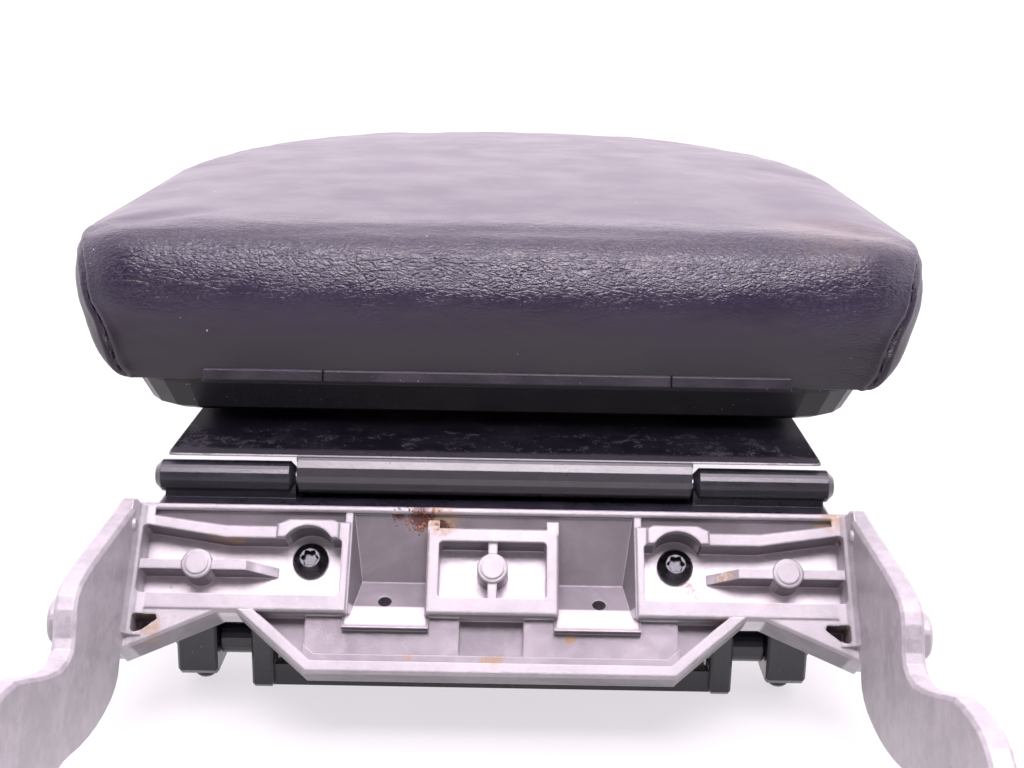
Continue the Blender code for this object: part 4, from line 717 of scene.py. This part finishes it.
def swell(pad, seams):
    """Presses the leather out between its seams with a cloth simulation, and applies it."""
    group = pad.vertex_groups.new(name="held")
    tree = tree_of(seams)
    start = np.zeros(len(pad.data.vertices) * 3)
    pad.data.vertices.foreach_get("co", start)
    start = start.reshape(-1, 3)
    for i, co in enumerate(start):
        away = tree.find(Vector(co))[2]
        if co[2] < PAD_FOOT + HELD_HEIGHT or away < HELD_NEAR_SEAM:
            group.add([i], 1.0, "REPLACE")
    cloth = pad.modifiers.new("swell", "CLOTH")
    cloth.settings.quality = 4
    cloth.settings.mass = 0.3
    cloth.settings.tension_stiffness = 40.0
    cloth.settings.compression_stiffness = 40.0
    cloth.settings.shear_stiffness = 20.0
    cloth.settings.bending_stiffness = 2.0
    cloth.settings.use_pressure = True
    cloth.settings.uniform_pressure_force = 4.0
    cloth.settings.vertex_group_mass = "held"
    cloth.settings.effector_weights.gravity = 0.0
    cloth.collision_settings.use_collision = False
    cloth.point_cache.frame_start = 1
    cloth.point_cache.frame_end = SWELL_FRAMES
    for count in range(1, SWELL_FRAMES + 1):
        bpy.context.scene.frame_set(count)
    graph = bpy.context.evaluated_depsgraph_get()
    made = pad.evaluated_get(graph).to_mesh()
    moved = np.zeros(len(start) * 3)
    made.vertices.foreach_get("co", moved)
    moved = moved.reshape(-1, 3) - start
    pad.modifiers.remove(cloth)
    size = np.linalg.norm(moved, axis=1)
    most = size.max()
    share = np.where(size > 1e-9, np.minimum(size, SWELL_CAP * SWELL_SHRINK) / np.maximum(size, 1e-9), 0.0)
    moved = moved * share[:, None] / SWELL_SHRINK
    pad.data.vertices.foreach_set("co", (start + moved).ravel())
    pad.data.update()
    bpy.context.scene.frame_set(1)
    print("swell: largest free move", round(float(most) * 1000.0, 2), "mm")


def refine(pad, wanted):
    """One more cut of the edges whose middle is wanted."""
    bm = bmesh.new()
    bm.from_mesh(pad.data)
    edges = [e for e in bm.edges if wanted((e.verts[0].co + e.verts[1].co) / 2)]
    bmesh.ops.subdivide_edges(bm, edges=edges, cuts=1, use_grid_fill=True, smooth=0.0)
    bm.to_mesh(pad.data)
    bm.free()


def crease_height(p):
    """How far a point of the rear edge is pushed out or in by the leather's creases."""
    rear = 1.0 - min(1.0, max(0.0, (p.y - 0.086) / 0.03))
    up = min(1.0, max(0.0, (p.z - 0.044) / 0.014)) * rear
    along = Vector((p.x * 95.0, p.y * 260.0, p.z * 260.0))
    fold = abs(noise.fractal(along, 1.0, 2.0, 3))
    low = noise.noise(Vector((p.x * 22.0, p.y * 22.0, p.z * 22.0)))
    wide = noise.fractal(Vector((p.x * 45.0, p.y * 130.0, p.z * 130.0)) + Vector((7, 3, 1)), 1.0, 2.0, 2)
    corner = min(1.0, max(0.0, (abs(p.x) - 0.06) / 0.03)) * rear * (1.0 - up)
    return (0.30 * low + up * (0.14 * wide - 0.14 * fold) + corner * (0.14 * wide - 0.10 * fold)) * MM


def dress_pad():
    pad = pad_mesh()
    seams = []
    for sign in (-1.0, 1.0):
        seams += dense(seam_line(sign), 1.0 * MM)
    swell(pad, seams)
    select_only(pad)
    sub = pad.modifiers.new("round", "SUBSURF")
    sub.levels = 1
    sub.render_levels = 1
    bpy.ops.object.modifier_apply(modifier=sub.name)
    tree = tree_of(seams)
    low, high = CREASED_BAND
    refine(pad, lambda p: p.y < CREASED_END and low < p.z < high or tree.find(p)[2] < FINE_NEAR_SEAM)
    refine(pad, lambda p: tree.find(p)[2] < FINEST_NEAR_SEAM)
    bm = bmesh.new()
    bm.from_mesh(pad.data)
    bm.normal_update()
    shifts = []
    for v in bm.verts:
        if v.co.z < PAD_FOOT + 0.3 * MM:
            shifts.append(0.0)
            continue
        away = tree.find(v.co)[2] / MM
        groove = -GROOVE_DEPTH * math.exp(-((away / GROOVE_HALF) ** 2))
        groove += LIP_HEIGHT * math.exp(-(((away - LIP_AT) / LIP_HALF) ** 2))
        shifts.append(groove * MM + crease_height(v.co) * min(1.0, away / 3.0))
    for v, shift in zip(bm.verts, shifts):
        v.co += v.normal * shift
    bm.to_mesh(pad.data)
    bm.free()
    pad.data.shade_smooth()
    pad.data.materials.append(leather_finish())
    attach(pad, "lid")
    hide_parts("leather_cover", "foam_pad")
    return pad


def make_stitch():
    """One thread stitch, round and drawn in at its ends, along the x axis."""
    bpy.ops.mesh.primitive_uv_sphere_add(segments=8, ring_count=7, radius=1.0, location=(0.0, 0.0, 0.0))
    stitch = bpy.context.active_object
    stitch.scale = STITCH_SIZE
    bpy.ops.object.transform_apply(location=False, rotation=False, scale=True)
    bpy.ops.object.shade_smooth()
    return stitch


def stitches(pad, sign, name):
    """Dark thread in short stitches down in the seam."""
    skin = BVHTree.FromObject(pad, bpy.context.evaluated_depsgraph_get())
    points = dense(seam_line(sign), STITCH_STEP)
    model = make_stitch()
    copies = []
    for middle in range(3, len(points) - 3, STITCH_EVERY):
        at, normal = skin.find_nearest(points[middle])[:2]
        along = (points[middle + 1] - points[middle - 1]).normalized()
        across = normal.cross(along).normalized()
        up = along.cross(across)
        turn = Matrix((along, across, up)).transposed().to_4x4()
        copy = model.copy()
        copy.data = model.data.copy()
        copy.data.transform(Matrix.Translation(at + normal * 0.05 * MM) @ turn)
        bpy.context.scene.collection.objects.link(copy)
        copies.append(copy)
    bpy.data.objects.remove(model)
    select_only(copies[0])
    for copy in copies[1:]:
        copy.select_set(True)
    bpy.ops.object.join()
    copies[0].name = name
    return copies[0]


# Scene


def set_light():
    """Room that is bright behind and above, a window over the camera, a ceiling lamp and two fills."""
    world = bpy.data.worlds.new("studio")
    world.use_nodes = True
    bpy.context.scene.world = world
    tree = world.node_tree
    place = tree.nodes.new("ShaderNodeTexCoord")
    split = tree.nodes.new("ShaderNodeSeparateXYZ")
    ramp = tree.nodes.new("ShaderNodeMapRange")
    ramp.interpolation_type = "SMOOTHSTEP"
    ramp.inputs["From Min"].default_value = -0.8
    ramp.inputs["From Max"].default_value = 0.9
    ramp.inputs["To Min"].default_value = SKY_FRONT
    ramp.inputs["To Max"].default_value = SKY_REAR
    back = tree.nodes["Background"]
    back.inputs["Color"].default_value = ROOM_TINT
    tree.links.new(place.outputs["Generated"], split.inputs[0])
    tree.links.new(split.outputs["Y"], ramp.inputs[0])
    tree.links.new(ramp.outputs[0], back.inputs["Strength"])
    for name, at, wide, high, power, tint in LAMPS:
        light = bpy.data.lights.new(name, "AREA")
        light.shape = "ELLIPSE"
        light.size = wide
        light.size_y = high
        light.energy = power
        light.color = tint
        lamp = bpy.data.objects.new(name, light)
        lamp.location = at
        aim = Vector(LAMPS_AIM) - Vector(at)
        lamp.rotation_mode = "QUATERNION"
        lamp.rotation_quaternion = aim.to_track_quat("-Z", "Y")
        bpy.context.scene.collection.objects.link(lamp)


def set_floor():
    bpy.ops.object.select_all(action="DESELECT")
    low = cad_box[0][2] - 0.1 * MM
    bpy.ops.mesh.primitive_plane_add(size=FLOOR_SIZE, location=(0.0, FLOOR_AT_Y, low))
    floor = bpy.context.active_object
    floor.name = "floor"
    floor.data.materials.append(floor_finish())


def set_camera():
    camera = bpy.data.objects.new("camera", bpy.data.cameras.new("camera"))
    bpy.context.scene.collection.objects.link(camera)
    camera.data.lens = CAMERA_LENS
    camera.data.sensor_width = 36.0
    camera.data.clip_start = 0.01
    pitch = Matrix.Rotation(0.5 * math.pi - CAMERA_DOWN, 4, "X")
    camera.matrix_world = Matrix.Translation(CAMERA_AT) @ pitch @ Matrix.Rotation(CAMERA_ROLL, 4, "Z")
    bpy.context.scene.camera = camera


def paint(node, material):
    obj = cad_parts[node]
    obj.data.materials.clear()
    obj.data.materials.append(material)


set_camera()
set_floor()
set_light()
bpy.context.scene.view_settings.view_transform = "Standard"

pad = dress_pad()
thread = moulding_finish("seam_thread", (0.022, 0.018, 0.026), 0.6)
for sign, name in ((-1.0, "seam_stitches_left"), (1.0, "seam_stitches_right")):
    row = stitches(pad, sign, name)
    row.data.materials.append(thread)
    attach(row, "lid")

casting = casting_finish()
block = moulding_finish(
    "hinge_block_black", (0.011, 0.010, 0.016), 0.29, 1900.0, 0.00003, Coat_Weight=0.45, Coat_Roughness=0.28
)
shell_black = moulding_finish("shell_black", (0.003, 0.0025, 0.006), 0.34, 1500.0, Specular_IOR_Level=0.4)
strip_black = moulding_finish("hem_strip_black", (0.012, 0.009, 0.016), 0.42, 1200.0)
plate_black = plate_finish()
bright_steel = steel_finish("bright_steel", (0.56, 0.55, 0.57), 0.3)
black_steel = steel_finish("black_screw_steel", (0.05, 0.05, 0.055), 0.24)
nylon = moulding_finish("natural_nylon", (0.52, 0.51, 0.47), 0.5)

paint("hinge_bracket", casting)
for name in ("hinge_carrier", "stop_lever"):
    paint(name, block)
for name in ("lower_shell", "base_board", "tray_liner"):
    paint(name, shell_black)
for name in ("hem_clip_centre", "hem_clip_left", "hem_clip_right"):
    paint(name, strip_black)
paint("slide_tray", plate_black)
for name in ("hinge_pin", "lever_spring_left", "lever_spring_right", "slide_stop_pin"):
    paint(name, bright_steel)
for name in ("carrier_screw_left", "carrier_screw_right", "lower_shaft"):
    paint(name, black_steel)
for place in ("rear_left", "rear_right", "front_left", "front_right"):
    paint("liner_screw_" + place, black_steel)
    paint("board_screw_" + place, black_steel)
    paint("glide_shoe_" + place, nylon)
paint("foam_pad", foam_finish("pad_foam", (0.33, 0.30, 0.24)))
